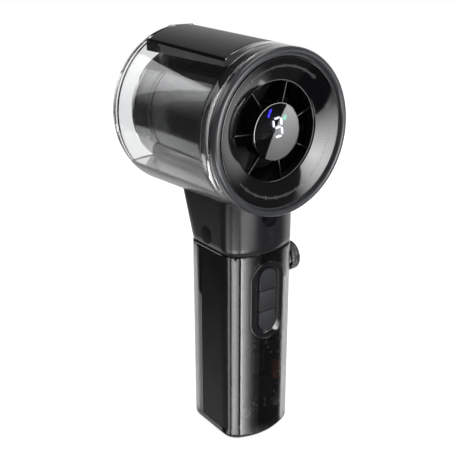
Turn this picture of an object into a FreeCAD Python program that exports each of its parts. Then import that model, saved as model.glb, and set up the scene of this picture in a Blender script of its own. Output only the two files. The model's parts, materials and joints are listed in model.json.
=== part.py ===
import FreeCAD, Part
import math
import os
import Sketcher

# A hand-held spray blower: a round head with a clear water tank, a neck and an upright handle.
# Millimetres. The origin is the middle of the handle's flat base, +Z is up, the keys and the
# display face -Y, the air leaves at +Y and the speed knob is on the +X side.

doc = FreeCAD.newDocument("SprayBlower")
sheet = doc.addObject("Spreadsheet::Sheet", "Sizes")
kept = []


class Size:
    """A number together with the text that ties it to the sheet, worked out side by side."""

    def __init__(self, value, text):
        self.value = value
        self.text = text

    def __add__(self, other):
        other = size(other)
        return Size(self.value + other.value, f"({self.text} + {other.text})")

    def __sub__(self, other):
        other = size(other)
        return Size(self.value - other.value, f"({self.text} - {other.text})")

    def __mul__(self, other):
        other = size(other)
        return Size(self.value * other.value, f"({self.text} * {other.text})")

    def __truediv__(self, other):
        other = size(other)
        return Size(self.value / other.value, f"({self.text} / {other.text})")

    def __neg__(self):
        return Size(-self.value, f"(0 - {self.text})")

    def __radd__(self, other):
        return size(other) + self

    def __rsub__(self, other):
        return size(other) - self

    def __rmul__(self, other):
        return size(other) * self


def size(number):
    """Let a plain number stand where a size is wanted."""
    if isinstance(number, Size):
        return number
    if number < 0:
        return Size(float(number), f"(0 - {abs(float(number))})")
    return Size(float(number), f"{float(number)}")


def root(length):
    """The square root of a size."""
    return Size(math.sqrt(length.value), f"sqrt({length.text})")


def dimension(alias, value, note):
    """Write one driving dimension in the sheet and hand it back as a size."""
    row = dimension.row
    dimension.row += 1
    sheet.set(f"A{row}", alias)
    sheet.set(f"B{row}", str(value))
    sheet.set(f"C{row}", note)
    sheet.setAlias(f"B{row}", alias)
    return Size(float(value), f"Sizes.{alias}")


dimension.row = 1

# Head: distances along its axis are measured from the middle of the handle, -Y to the front.
BEZEL_FRONT = dimension("bezel_front", -28.1, "front of the rim")
BEZEL_BACK = dimension("bezel_back", -25, "seam between rim and collar")
COLLAR_BACK = dimension("collar_back", -18.8, "seam between collar and tank")
TANK_END = dimension("tank_end", 46.3, "far end of the head")
CAP_LENGTH = dimension("cap_length", 4.6, "length of the tank's end cap")
TANK_SEAM = TANK_END - CAP_LENGTH
TANK_RADIUS = dimension("tank_radius", 36.3, "outside of the flared tank at its far end")
TANK_FLARE = dimension("tank_flare", 2.1, "how much the tank widens from the collar to its far end")
COLLAR_STEP = dimension("collar_step", 0.3, "how much the collar widens from the rim to the tank")
SLEEVE_INSET = dimension("sleeve_inset", 3.3, "sleeve and duct flange inside the rim's radius")
COLLAR_RADIUS = TANK_RADIUS - TANK_FLARE
BEZEL_RADIUS = COLLAR_RADIUS - COLLAR_STEP
SLEEVE_RADIUS = BEZEL_RADIUS - SLEEVE_INSET
RIM_ROUND = dimension("rim_round", 1.4, "rounding of the rim's front edge")
RIM_WIDTH = dimension("rim_width", 2.7, "rim from its outside to the groove")
GROOVE = dimension("groove_width", 0.9, "groove between rim and cone")
GROOVE_BEVEL = dimension("groove_bevel", 0.5, "bevel at the groove's mouth")
SLEEVE_WALL = dimension("sleeve_wall", 1.2, "wall of the sleeve")
WEB = dimension("rim_web", 1, "web that joins rim and sleeve")
CONE_LIP = dimension("cone_lip", -27.1, "front of the glossy cone")
CONE_FIT = dimension("cone_fit", 0.2, "room between the cone and the sleeve")
CONE_RIM = dimension("cone_rim", 0.6, "thickness of the cone's outer rim")
THROAT_LIP = dimension("throat_lip", 0.4, "thickness of the throat's back edge")
THROAT_FRONT = dimension("throat_front", -22.6, "plane of the intake opening")
THROAT_RADIUS = dimension("throat_radius", 20.8, "radius of the intake opening")
THROAT_BACK = dimension("throat_back", -14, "end of the throat inside the duct")
POD_RADIUS = dimension("pod_radius", 11.8, "radius of the display pod")
POD_BACK = dimension("pod_back", -15, "back of the display pod")
POD_WALL = dimension("pod_wall", 0.8, "wall of the display pod")
SPOKE_COUNT = dimension("spoke_count", 7, "spokes of the intake grille")
SPOKE_WIDTH = dimension("spoke_width", 0.7, "width of an intake spoke")
SPOKE_DEPTH = dimension("spoke_depth", 2, "depth of an intake spoke along the axis")
SPOKE_TURN = dimension("spoke_turn", 10, "turn of the first spoke from straight down")
GRILLE_RIM = dimension("grille_rim", 0.6, "rim of the intake grille")
LENS_FRONT = dimension("lens_front", -23, "front of the display lens")
LENS_THICK = dimension("lens_thickness", 0.9, "thickness of the display lens")
LENS_BEVEL = dimension("lens_bevel", 0.4, "bevel round the display lens")
DISPLAY_WALL = dimension("display_wall", 1, "wall of the display housing")
DISPLAY_LEDGE = dimension("display_ledge", 1, "ledge that the display board rests on")
DISPLAY_GAP = dimension("display_gap", 0.3, "gap between the lens and the lit bars")
DISPLAY_BOARD = dimension("display_board", 1.2, "thickness of the display board")
DIGIT_HALF = dimension("digit_half", 2.1, "half width of the digit between its bars")
DIGIT_TALL = dimension("digit_tall", 3.9, "half height of the digit between its bars")
DIGIT_LIFT = dimension("digit_lift", 0.6, "digit's centre above the head axis")
BAR_HALF = dimension("bar_half", 0.4, "half width of one bar of the digit")
BAR_REACH = dimension("bar_reach", 1.6, "half length of one bar of the digit")
BAR_DEPTH = dimension("bar_depth", 1, "depth of one bar of the digit")

# Tank, lid and outlet end.
TANK_WALL = dimension("tank_wall", 1.8, "outer wall of the tank")
TANK_CORE_WALL = dimension("tank_core_wall", 1.2, "inner wall of the tank round the duct")
DUCT_GAP = dimension("duct_gap", 0.4, "running room between duct and tank")
DUCT_RADIUS = dimension("duct_radius", 25, "outside of the air duct")
DUCT_WALL = dimension("duct_wall", 2, "wall of the air duct")
RING_LENGTH = dimension("ring_length", 2.8, "end of the head behind the air duct")
DUCT_END = TANK_END - RING_LENGTH
CHORD = dimension("chord_drop", 22.3, "flat seam between tank and belly below the head axis")
FLOOR = dimension("tank_floor", 1.5, "flat floor of the tank")
END_WALL = dimension("end_wall", 2, "far wall of the tank")
BELLY_WALL = dimension("belly_wall", 2, "wall of the belly")
BELLY_PLATE = dimension("belly_plate", 1.6, "flat plate of the belly under the tank")
SADDLE_HALF = dimension("saddle_half", 11, "half width of the saddle in the belly")
SADDLE_FRONT = dimension("saddle_front", -14, "front of the saddle")
SADDLE_BACK = dimension("saddle_back", 27, "back of the saddle")
END_ROUND = dimension("end_round", 1.2, "bevel of the tank's far edge")
LID_HALF = dimension("lid_half_width", 17.6, "half width of the lid")
LID_FRONT = dimension("lid_front", -12.8, "front edge of the lid")
LID_THICK = dimension("lid_thickness", 1.6, "thickness of the lid")
LID_GAP = dimension("lid_gap", 0.3, "gap round and under the lid")
FRAME_WALL = dimension("frame_wall", 1.2, "wall of the filler frame")
FRAME_BACK = dimension("frame_back", 33, "back of the filler frame")
FRAME_DEPTH = dimension("frame_depth", 3.64, "depth of the filler frame under the tank's outside")
FRAME_LOW = root(COLLAR_RADIUS * COLLAR_RADIUS - (LID_HALF + LID_GAP) * (LID_HALF + LID_GAP)) - FRAME_DEPTH
GASKET_WALL = dimension("gasket_wall", 1.2, "width of the lid gasket")
GASKET_DEPTH = dimension("gasket_depth", 2, "depth of the lid gasket")
KNUCKLE = dimension("knuckle_radius", 1.3, "radius of the lid's knuckles")
HINGE_MARGIN = dimension("hinge_margin", 0.1, "knuckles inside the far end of the head")
HINGE_SINK = dimension("hinge_sink", 0.05, "top of the knuckles under the tank's outside")
HINGE_ALONG = TANK_END - KNUCKLE - HINGE_MARGIN
LID_BACK = HINGE_ALONG - KNUCKLE - LID_GAP
FLARE = TANK_FLARE / (TANK_END - COLLAR_BACK)
HINGE_UP = COLLAR_RADIUS + (HINGE_ALONG - COLLAR_BACK) * FLARE - KNUCKLE - HINGE_SINK
KNUCKLE_HALF = dimension("knuckle_half", 2.9, "half length of the lid's knuckle")
PIN_HALF = dimension("pin_half", 6, "half length of the hinge pin")
PIN_RADIUS = dimension("pin_radius", 0.6, "radius of the hinge pin")
PIN_FIT = dimension("pin_fit", 0.05, "clearance of every turning fit")
KNUCKLE_GAP = dimension("knuckle_gap", 0.25, "side gap between knuckles")
LID_TAB = dimension("lid_tab", 1.2, "height of the tab between lid and knuckle")
LID_TAB_SINK = dimension("lid_tab_sink", 0.1, "tab below the top of the knuckle")
LID_TAB_ROOT = dimension("lid_tab_root", 1.5, "how far the tab reaches into the lid")

# Fan, motor and mist unit.
SHAFT_RADIUS = dimension("shaft_radius", 1.5, "radius of the motor shaft")
SHAFT_FRONT = dimension("shaft_front", -11, "front end of the motor shaft")
HUB_RADIUS = dimension("hub_radius", 10.6, "outside of the impeller hub")
HUB_FRONT = dimension("hub_front", -8.6, "nose of the impeller hub")
HUB_LENGTH = dimension("hub_length", 15.1, "length of the impeller hub")
HUB_BACK = HUB_FRONT + HUB_LENGTH
HUB_WALL = dimension("hub_wall", 1.2, "wall of the impeller hub")
HUB_STEP = dimension("hub_step", 0.8, "where the hub's hollow starts behind its nose")
NOSE_LENGTH = dimension("nose_length", 6.6, "length of the hub's rounded nose")
NOSE_ROUND = dimension("nose_round", 8.6, "radius of the hub's rounded nose")
NOSE_FLOOR = dimension("nose_floor", 3.4, "start of the hub's hollow beside its boss")
BOSS_RADIUS = dimension("boss_radius", 3.6, "radius of the boss inside the hub")
BOSS_INSET = dimension("boss_inset", 1.4, "end of the boss inside the hub's open back")
NUT_RADIUS = dimension("nut_radius", 3, "radius of the impeller nut")
NUT_THICK = dimension("nut_thickness", 2, "thickness of the impeller nut")
TIP_GAP = dimension("tip_gap", 0.7, "gap between blade tips and duct")
BLADE_COUNT = dimension("blade_count", 9, "blades of the impeller")
BLADE_HALF = dimension("blade_half", 0.5, "half thickness of a blade")
BLADE_SLANT = dimension("blade_slant", 5, "half of a blade's sideways reach")
BLADE_BOW = dimension("blade_bow", 16, "radius of a blade's camber")
BLADE_FRONT = dimension("blade_front", -5, "front edge of the blades")
BLADE_BACK = dimension("blade_back", 6, "back edge of the blades")
MOTOR_RADIUS = dimension("motor_radius", 11.2, "outside of the motor can")
MOTOR_FRONT = dimension("motor_front", 8, "front of the motor can")
MIST_INSET = dimension("mist_inset", 1.9, "mist unit inside the far end of the head")
MIST_LENGTH = dimension("mist_length", 11, "length of the mist unit")
MIST_BACK = TANK_END - MIST_INSET
MIST_FRONT = MIST_BACK - MIST_LENGTH
MOTOR_GAP = dimension("motor_gap", 2.4, "room between the motor and the mist unit")
MOTOR_BACK = MIST_FRONT - MOTOR_GAP
SHAFT_REACH = dimension("shaft_reach", 0.6, "shaft beyond the back of the motor can")
SHAFT_BACK = MOTOR_BACK + SHAFT_REACH
MOTOR_WALL = dimension("motor_wall", 0.8, "wall of the motor can")
BEARING_RADIUS = dimension("bearing_radius", 4, "outside of the ball bearings")
BEARING_WIDE = dimension("bearing_width", 3, "width of the ball bearings")
BEARING_SEAT = dimension("bearing_seat", 1, "wall of the motor can round a bearing")
SHAFT_ROOM = dimension("shaft_room", 0.6, "room round the shaft in the motor can")
STATOR_INSET = dimension("stator_inset", 5, "wound stator inside the ends of the motor can")
STATOR_FRONT = MOTOR_FRONT + STATOR_INSET
STATOR_BACK = MOTOR_BACK - STATOR_INSET
STATOR_BORE = dimension("stator_bore", 6.3, "bore of the wound stator")
MAGNET_RADIUS = dimension("magnet_radius", 5.8, "outside of the rotor magnet")
MAGNET_INSET = dimension("magnet_inset", 1, "magnet inside the ends of the stator")
SLOT_COUNT = dimension("slot_count", 6, "slots of the stator")
SLOT_WIDE = dimension("slot_width", 1.6, "width of a stator slot")
SLOT_DEEP = dimension("slot_depth", 2.6, "depth of a stator slot")
MOUNT_WALL = dimension("mount_wall", 1.2, "wall of the motor mount")
VANE_COUNT = dimension("vane_count", 9, "guide vanes round the motor mount")
VANE_THICK = dimension("vane_thickness", 1.2, "thickness of a guide vane")
VANE_NOSE = dimension("vane_nose", 2, "front of the vanes behind the motor's front")
VANE_TAIL = dimension("vane_tail", 3, "back of the vanes before the motor's back")
STRUT_WALL = dimension("strut_wall", 1, "wall of the hollow strut for the leads")
STRUT_HALF = dimension("strut_half", 2.6, "half width of the hollow strut for the leads")
LEAD_ALONG = dimension("lead_along", 15, "motor leads along the head")
LEAD_RADIUS = dimension("lead_radius", 0.65, "radius of one motor lead")
LEAD_STEP = dimension("lead_step", 1.5, "spacing of the motor leads")
LEAD_HOLE = dimension("lead_hole", 2.4, "radius of the lead channel")
LEAD_LEVEL = dimension("lead_level", 3, "forward run of the leads above the neck's foot")
LEAD_BEND = dimension("lead_bend", 3, "radius of the bends in the leads")
OUTLET_INSET = dimension("outlet_inset", 1.9, "outlet grille inside the duct's far end")
OUTLET_DEPTH = dimension("outlet_depth", 4, "depth of the outlet grille")
OUTLET_FRONT = DUCT_END - OUTLET_INSET - OUTLET_DEPTH
OUTLET_RIM = dimension("outlet_rim", 1.2, "rim of the outlet grille")
OUTLET_SPOKE_COUNT = dimension("outlet_spokes", 8, "spokes of the outlet grille")
OUTLET_HUB = dimension("outlet_hub", 1.2, "hub of the outlet grille")
OUTLET_WIDTH = dimension("outlet_width", 0.84, "width of an outlet spoke")
RING_SINK = dimension("ring_sink", 0.4, "bright ring inside the end of the head")
MIST_RADIUS = dimension("mist_radius", 8.4, "outside of the mist unit")
MIST_WALL = dimension("mist_wall", 1, "wall of the mist unit")
MIST_BEVEL = dimension("mist_bevel", 2, "bevel at the inner end of the mist unit")
MIST_MOUTH = dimension("mist_mouth", 3.2, "radius of the mist opening")
MIST_ROUND = dimension("mist_round", 0.8, "bevel at the outer end of the mist unit")
MOUTH_FLARE = dimension("mouth_flare", 1, "flare of the mist opening")
DISC_RADIUS = dimension("disc_radius", 5.6, "radius of the mist disc")
DISC_THICK = dimension("disc_thickness", 0.6, "thickness of the mist disc")
DISC_SEAT = dimension("disc_seat", 0.6, "seal in front of the mist disc")
SEAL_LIP = dimension("seal_lip", 1.4, "how far the seal holds the mist disc")
SEAL_BACK = dimension("seal_back", 1.2, "seal behind the mist disc")
WICK_RADIUS = dimension("wick_radius", 1.2, "radius of the cotton wick")
WICK_BARE = dimension("wick_bare", 2, "bare end of the wick in the tank")
WICK_TUBE = dimension("wick_tube", 1.7, "outside of the wick tube")
WICK_REACH = dimension("wick_reach", 30, "end of the wick in the tank")

# Neck and handle.
HALF_WIDTH = dimension("handle_half_width", 18, "half width of the handle")
HALF_DEPTH = dimension("handle_half_depth", 20, "half depth of the handle")
CORNER = dimension("handle_corner", 9, "corner radius of the handle's plan")
BOW = dimension("handle_bow", 30, "radius of the bowed front and back")
CELL_RADIUS = dimension("cell_radius", 10.6, "radius of the battery cell")
CELL_LENGTH = dimension("cell_length", 70, "length of the battery cell")
CELL_LOW = dimension("cell_low", 17.6, "lower end of the battery cell")
NUB_TALL = dimension("nub_tall", 0.5, "height of the positive pole")
TAB_THICK = dimension("tab_thickness", 0.4, "thickness of the battery tabs")
CELL_ROOM = dimension("cell_room", 0.5, "room between the upper battery tab and the deck")
DECK_THICK = dimension("deck_thickness", 2, "deck inside the top of the handle")
HANDLE_TOP = CELL_LOW + CELL_LENGTH + NUB_TALL + TAB_THICK + CELL_ROOM + DECK_THICK
NECK_LENGTH = dimension("neck_length", 18.8, "neck between the handle and the underside of the head")
HEAD_HEIGHT = HANDLE_TOP + NECK_LENGTH + COLLAR_RADIUS
HANDLE_FOOT = dimension("handle_foot", 1, "lower edge of the handle shell")
SHELL_WALL = dimension("shell_wall", 2, "wall of the handle shell")
SHELL_ROUND = dimension("shell_round", 1.5, "rounding of the shell's lower edge")
NECK_SEAM = dimension("neck_seam", 1, "height of the seal between neck and handle")
NECK_BEVEL = dimension("neck_bevel", 0.8, "bevel at the foot of the neck")
NECK_SINK = dimension("neck_sink", 7.2, "how far the neck's loft reaches into the head")
NECK_TOP = HANDLE_TOP + NECK_LENGTH + NECK_SINK
NECK_BACK = dimension("neck_back", 28.5, "back of the neck at its top")
POCKET_TALL = dimension("pocket_tall", 13, "height of the hollow in the neck")
NECK_POCKET = HANDLE_TOP + POCKET_TALL
POCKET_FRONT = dimension("pocket_front", -14.5, "front of the hollow in the neck")
POCKET_BACK = dimension("pocket_back", 15.5, "back of the hollow in the neck")
POCKET_HALF = dimension("pocket_half", 10.5, "half width of the hollow in the neck")
PLUG_RADIUS = dimension("plug_radius", 4, "radius of the round side plugs")
PLUG_ALONG = dimension("plug_along", 1.4, "side plugs behind the handle's middle")
PLUG_RISE = dimension("plug_rise", 5.9, "side plugs above the handle's top")
PLUG_HEIGHT = HANDLE_TOP + PLUG_RISE
PLUG_DEPTH = dimension("plug_depth", 1.4, "thickness of the side plugs")
PLUG_PROUD = dimension("plug_proud", 0.15, "how far the side plugs stand out")
LAMP_RADIUS = dimension("lamp_radius", 4.5, "radius of the round end of the indicator window")
LAMP_RISE = dimension("lamp_rise", 16.6, "indicator's centre above the handle's top")
LAMP_HEIGHT = HANDLE_TOP + LAMP_RISE
LAMP_DEPTH = dimension("lamp_depth", 1.8, "depth of the indicator's recess")
LAMP_SINK = dimension("lamp_sink", 0.7, "indicator below the neck's surface")
BASE_PLUG = dimension("base_plug", 4, "height of the base cap inside the shell")
BASE_RIM = dimension("base_rim", 1.2, "wall of the base cap inside the shell")

# Keys and knob.
KEYPAD_DROP = dimension("keypad_drop", 22.4, "keypad's centre below the handle's top")
KEYPAD_HEIGHT = HANDLE_TOP - KEYPAD_DROP
WELL_HALF = dimension("well_half", 9, "half width of the keypad's bevelled ring")
WELL_TALL = dimension("well_tall", 18.7, "half height of the keypad's bevelled ring")
KEY_HALF = dimension("key_half", 4.5, "half width of the keys")
KEYS_TALL = dimension("keys_tall", 14.9, "half height of the three keys together")
KEY_GAP = dimension("key_gap", 0.25, "gap round each key")
KEY_FRONT = dimension("key_front", -19.2, "front face of the keys")
KEY_THICK = dimension("key_thickness", 2.4, "thickness of a key")
KEY_TRAVEL = dimension("key_travel", 0.6, "travel of a key")
KEY_MARGIN = dimension("key_margin", 0.1, "room left behind a pressed key")
WELL_STEP = dimension("well_step", 1.1, "flat margin round the keys in the well")
WELL_DEEP = dimension("well_deep", 1.9, "depth of the well's bevel")
WELL_CUT = dimension("well_cut", 8, "depth of the opening for the keypad")
RING_DEEP = dimension("ring_deep", 3.6, "depth of the keypad's ring")
SWITCH_HALF = dimension("switch_half", 2.6, "half side of a push switch")
PLUNGER = dimension("plunger", 0.6, "height of a switch's plunger")
PLUNGER_RADIUS = dimension("plunger_radius", 1.4, "radius of a switch's plunger")
KNOB_RADIUS = dimension("knob_radius", 6.9, "radius of the speed knob")
KNOB_ALONG = dimension("knob_along", -7.2, "knob axis in front of the handle's middle")
KNOB_DROP = dimension("knob_drop", 10.4, "knob's axis below the handle's top")
KNOB_HEIGHT = HANDLE_TOP - KNOB_DROP
KNOB_ROOT = dimension("knob_root", 1.2, "gap between flank and knob")
KNOB_THICK = dimension("knob_thickness", 4.2, "thickness of the knob")
KNOB_EDGE = dimension("knob_edge", 0.3, "bevel at the back of the knob")
KNOB_BEVEL = dimension("knob_bevel", 0.6, "bevel round the knob's face")
KNOB_FACE = dimension("knob_face", 1.2, "thickness of the knob's face")
COLLAR_GAP = dimension("collar_gap", 0.3, "gap between collar and knob")
KNOB_COLLAR = dimension("knob_collar", 5.4, "radius of the collar under the knob")
KNOB_SHAFT = dimension("knob_shaft", 3, "radius of the knob's shaft")
ENCODER_HALF = dimension("encoder_half", 5.5, "half side of the rotary switch")
ENCODER_THICK = dimension("encoder_thickness", 3, "thickness of the rotary switch")
ENCODER_FLOOR = dimension("encoder_floor", 0.5, "floor of the rotary switch's bore")
SHAFT_FLOOR = dimension("shaft_floor", 0.8, "end of the knob's shaft above the switch's back")

# Side panels and what the handle holds.
PANEL_FRONT = dimension("panel_front", -14, "front edge of the side panels")
PANEL_BACK = dimension("panel_back", 5.6, "back edge of the side panels")
PANEL_LOW = dimension("panel_low", 4.6, "lower edge of the side panels")
PANEL_DROP = dimension("panel_drop", 1, "left side panel below the handle's top")
PANEL_TOP = HANDLE_TOP - PANEL_DROP
PANEL_CLEAR = dimension("panel_clear", 9.6, "right side panel below the knob's axis")
PANEL_SHORT = KNOB_HEIGHT - PANEL_CLEAR
PANEL_THICK = dimension("panel_thickness", 0.8, "thickness of the side panels")
CELL_ALONG = dimension("cell_along", 3.6, "battery cell behind the handle's middle")
CELL_ROUND = dimension("cell_round", 0.6, "bevel at the ends of the cell")
CELL_NUB = dimension("cell_nub", 3.4, "radius of the cell's positive pole")
HOLDER_SLOT = dimension("holder_slot", 7, "half width of the openings in the holder")
HOLDER_WALL = dimension("holder_wall", 0.8, "thinnest wall of the battery holder")
TAB_HALF = dimension("tab_half", 3, "half width of the upper battery tab")
TAB_INSET = dimension("tab_inset", 3, "lower battery tab inside the cell's outline")
BOARD_FRONT = dimension("board_front", -13.5, "front face of the main board")
BOARD_THICK = dimension("board_thickness", 1.6, "thickness of the main board")
BOARD_HALF = dimension("board_half", 12.4, "half width of the main board")
BOARD_LOW = dimension("board_low", 6, "lower edge of the main board")
BOARD_ROOM = dimension("board_room", 0.4, "room between the main board and the deck")
BOARD_TOP = HANDLE_TOP - DECK_THICK - BOARD_ROOM
PORT_HALF = dimension("port_half", 4.5, "half width of the charging port")
PORT_TALL = dimension("port_tall", 3.2, "height of the charging port")
PORT_LOW = dimension("port_low", 9, "lower edge of the charging port")
PORT_DEEP = dimension("port_deep", 7.2, "depth of the charging port")
PORT_BOARD = dimension("port_board_thickness", 1.2, "thickness of the charging board")
PORT_BOARD_HALF = dimension("port_board_half", 6.4, "half width of the charging board")
PORT_WALL = dimension("port_wall", 0.35, "sheet of the charging port")
PORT_SINK = dimension("port_sink", 0.1, "charging port below the handle's back")
PORT_FLOOR = dimension("port_floor", 0.8, "floor of the charging port")
PORT_SPACE = dimension("port_space", 1, "space behind the charging board")
TONGUE_HALF = dimension("tongue_half", 3.2, "half width of the charging port's tongue")
TONGUE_THICK = dimension("tongue_thickness", 0.7, "thickness of the charging port's tongue")
TONGUE_ROOT = dimension("tongue_root", 0.4, "start of the tongue in the port's floor")
TONGUE_SINK = dimension("tongue_sink", 1.4, "end of the tongue below the handle's back")
SCREW_RADIUS = dimension("screw_radius", 1, "radius of the screws")
HEAD_RADIUS = dimension("screw_head", 1.9, "radius of the screw heads")
SCREW_LONG = dimension("screw_length", 10, "length of the screws")
HEAD_THICK = dimension("screw_head_thick", 1.2, "height of the screw heads")
BOSS_WALL = dimension("boss_wall", 1, "wall round a screw head's well")
SADDLE_ACROSS = dimension("saddle_screws_across", 7, "saddle screws beside the middle")
SADDLE_NEAR = dimension("saddle_screws_near", -8, "front saddle screws along the head")
SADDLE_FAR = dimension("saddle_screws_far", 15.5, "back saddle screws along the head")
SADDLE_ROOM = dimension("saddle_screws_room", 2.2, "ends of the saddle screws under the air duct")
DECK_ACROSS = dimension("deck_screws_across", 13.4, "deck screws beside the middle")
DECK_ALONG = dimension("deck_screws_along", 6.5, "deck screws before and behind the middle")
BASE_ACROSS = dimension("base_screws_across", 8.5, "base screws beside the middle")
BASE_ALONG = dimension("base_screws_along", 11.5, "base screws behind the middle")

# Circuits, coils and capacitors on the main board.
MODULE_ACROSS = dimension("module_across", 1.6, "square module beside the middle")
MODULE_HEIGHT = dimension("module_height", 22.6, "square module above the base")
MODULE_WIDE = dimension("module_wide", 4.2, "half width of the square module")
MODULE_HIGH = dimension("module_high", 5.2, "half height of the square module")
MODULE_TALL = dimension("module_tall", 1.6, "thickness of the square module")
DRIVER_ACROSS = dimension("driver_across", -0.8, "motor driver beside the middle")
DRIVER_HEIGHT = dimension("driver_height", 36, "motor driver above the base")
DRIVER_WIDE = dimension("driver_wide", 2.2, "half width of the motor driver")
DRIVER_HIGH = dimension("driver_high", 5.2, "half height of the motor driver")
DRIVER_TALL = dimension("driver_tall", 1.2, "thickness of the motor driver")
REGULATOR_ACROSS = dimension("regulator_across", -6.6, "voltage regulator beside the middle")
REGULATOR_HEIGHT = dimension("regulator_height", 24, "voltage regulator above the base")
REGULATOR_WIDE = dimension("regulator_wide", 2, "half width of the voltage regulator")
REGULATOR_HIGH = dimension("regulator_high", 3, "half height of the voltage regulator")
CHIP_TALL = dimension("chip_tall", 1, "thickness of the smaller circuits")
SENSOR_ACROSS = dimension("sensor_across", -6.8, "sensor circuit beside the middle")
SENSOR_HEIGHT = dimension("sensor_height", 42, "sensor circuit above the base")
SENSOR_WIDE = dimension("sensor_wide", 1.8, "half width of the sensor circuit")
SENSOR_HIGH = dimension("sensor_high", 2.4, "half height of the sensor circuit")
COIL_ACROSS = dimension("coil_across", 8.3, "coils beside the middle")
COIL_UPPER = dimension("coil_upper", 31.8, "upper coil above the base")
COIL_LOWER = dimension("coil_lower", 26.9, "lower coil above the base")
COIL_RADIUS = dimension("coil_radius", 2.3, "radius of the coils")
COIL_TALL = dimension("coil_tall", 2, "thickness of the coils")
CAN_LEFT = dimension("can_left", -8.4, "left capacitor beside the middle")
CAN_RIGHT = dimension("can_right", 8.2, "right capacitor beside the middle")
CAN_HEIGHT = dimension("can_height", 12, "round capacitors above the base")
CAN_RADIUS = dimension("can_radius", 1.9, "radius of the round capacitors")
CAN_TALL = dimension("can_tall", 2.2, "height of the round capacitors")
SMALL_LEFT = dimension("small_left", -3.4, "first column of small capacitors")
SMALL_STEP = dimension("small_step", 6.5, "step between the columns of small capacitors")
SMALL_LOW = dimension("small_low", 11.6, "lowest row of small capacitors")
SMALL_MIDDLE = dimension("small_middle", 14.6, "middle row of small capacitors")
SMALL_TOP = dimension("small_top", 44.6, "highest row of small capacitors")
SMALL_WIDE = dimension("small_wide", 0.5, "half width of a small capacitor")
SMALL_HIGH = dimension("small_high", 0.9, "half height of a small capacitor")
SMALL_TALL = dimension("small_tall", 0.6, "thickness of a small capacitor")

doc.recompute()


def vector(x, y, z):
    """A plain vector."""
    return FreeCAD.Vector(x, y, z)


def along(along_axis):
    """The rotation that turns a shape made along Z so that it points along an axis."""
    turns = {
        "x": FreeCAD.Rotation(vector(0, 1, 0), 90),
        "y": FreeCAD.Rotation(vector(1, 0, 0), -90),
        "z": FreeCAD.Rotation(),
    }
    return turns[along_axis]


def place(thing, x, y, z, rotation=None):
    """Put an object at a point whose three coordinates stay tied to the sheet."""
    spot = [size(x), size(y), size(z)]
    thing.Placement = FreeCAD.Placement(
        vector(spot[0].value, spot[1].value, spot[2].value), rotation or FreeCAD.Rotation())
    for letter, coordinate in zip("xyz", spot):
        thing.setExpression(f"Placement.Base.{letter}", coordinate.text)
    return thing


def keep(name, thing):
    """Register a finished sub-part under the name of its file."""
    thing.Label = name
    kept.append(thing)
    return thing


# Solids with flat sides and plain rounds.

def block(low, high):
    """A box between two corners."""
    low = [size(number) for number in low]
    high = [size(number) for number in high]
    box = doc.addObject("Part::Box", "Block")
    for name, start, stop in zip(("Length", "Width", "Height"), low, high):
        span = stop - start
        setattr(box, name, span.value)
        box.setExpression(name, span.text)
    return place(box, *low)


def rod(radius, start, length, direction="y"):
    """A cylinder that starts at a point and runs along an axis."""
    cylinder = doc.addObject("Part::Cylinder", "Rod")
    cylinder.Radius = size(radius).value
    cylinder.Height = size(length).value
    cylinder.setExpression("Radius", size(radius).text)
    cylinder.setExpression("Height", size(length).text)
    return place(cylinder, *start, rotation=along(direction))


def cut(base, *tools):
    """What is left of a shape when others are taken away, one after the other."""
    for tool in tools:
        result = doc.addObject("Part::Cut", "Cut")
        result.Base = base
        result.Tool = tool
        result.Refine = True
        base = result
    return base


def fuse(*parts):
    """Several shapes joined into one solid."""
    result = doc.addObject("Part::MultiFuse", "Joined")
    result.Shapes = list(parts)
    result.Refine = True
    return result


def common(first, second):
    """What two shapes share."""
    result = doc.addObject("Part::Common", "Shared")
    result.Base = first
    result.Tool = second
    result.Refine = True
    return result


def group(parts):
    """Several separate solids that make one node."""
    result = doc.addObject("Part::Compound", "Group")
    result.Links = list(parts)
    return result


def ring(outer, inner, start, length, direction="y"):
    """A tube between two radii."""
    start = [size(number) for number in start]
    return cut(rod(outer, start, length, direction), rod(inner, start, length, direction))


# Sketched outlines whose corners are tied to the sheet.

class Corner:
    """A corner of an outline, and the arc that leads to it where it has one."""

    def __init__(self, across, up, radius=None, left=True):
        self.across = size(across)
        self.up = size(up)
        self.radius = None if radius is None else size(radius)
        self.left = left


def origin_part(body, role):
    """One of a body's own planes or axes."""
    for feature in body.Origin.OriginFeatures:
        if feature.Role == role:
            return feature
    raise ValueError(role)


def sketch_on(body, role, height=None):
    """An empty sketch on one of the body's planes, or at a height above it."""
    sketch = body.newObject("Sketcher::SketchObject", "Outline")
    sketch.AttachmentSupport = [(origin_part(body, role), "")]
    sketch.MapMode = "FlatFace"
    if height is not None:
        height = size(height)
        sketch.AttachmentOffset = FreeCAD.Placement(vector(0, 0, height.value), FreeCAD.Rotation())
        sketch.setExpression("AttachmentOffset.Base.z", height.text)
    return sketch


def arc_between(before, here, radius, left):
    """The shorter arc from one point to the next, with its centre to the left or the right."""
    middle = (before + here) * 0.5
    chord = here - before
    side = 1 if left else -1
    reach = math.sqrt(max(radius ** 2 - (chord.Length / 2) ** 2, 0))
    normal = vector(-chord.y, chord.x, 0).normalize() * side
    centre = middle + normal * reach
    start, stop = (before, here) if left else (here, before)
    first = math.atan2(start.y - centre.y, start.x - centre.x)
    last = math.atan2(stop.y - centre.y, stop.x - centre.x)
    if last < first:
        last += 2 * math.pi
    return Part.ArcOfCircle(Part.Circle(centre, vector(0, 0, 1), radius), first, last)


def hold_point(sketch, item, end, corner):
    """Tie one end of a line or an arc to the sheet."""
    for kind, length in (("DistanceX", corner.across), ("DistanceY", corner.up)):
        index = sketch.addConstraint(Sketcher.Constraint(kind, -1, 1, item, end, length.value))
        sketch.setExpression(f"Constraints[{index}]", length.text)


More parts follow.
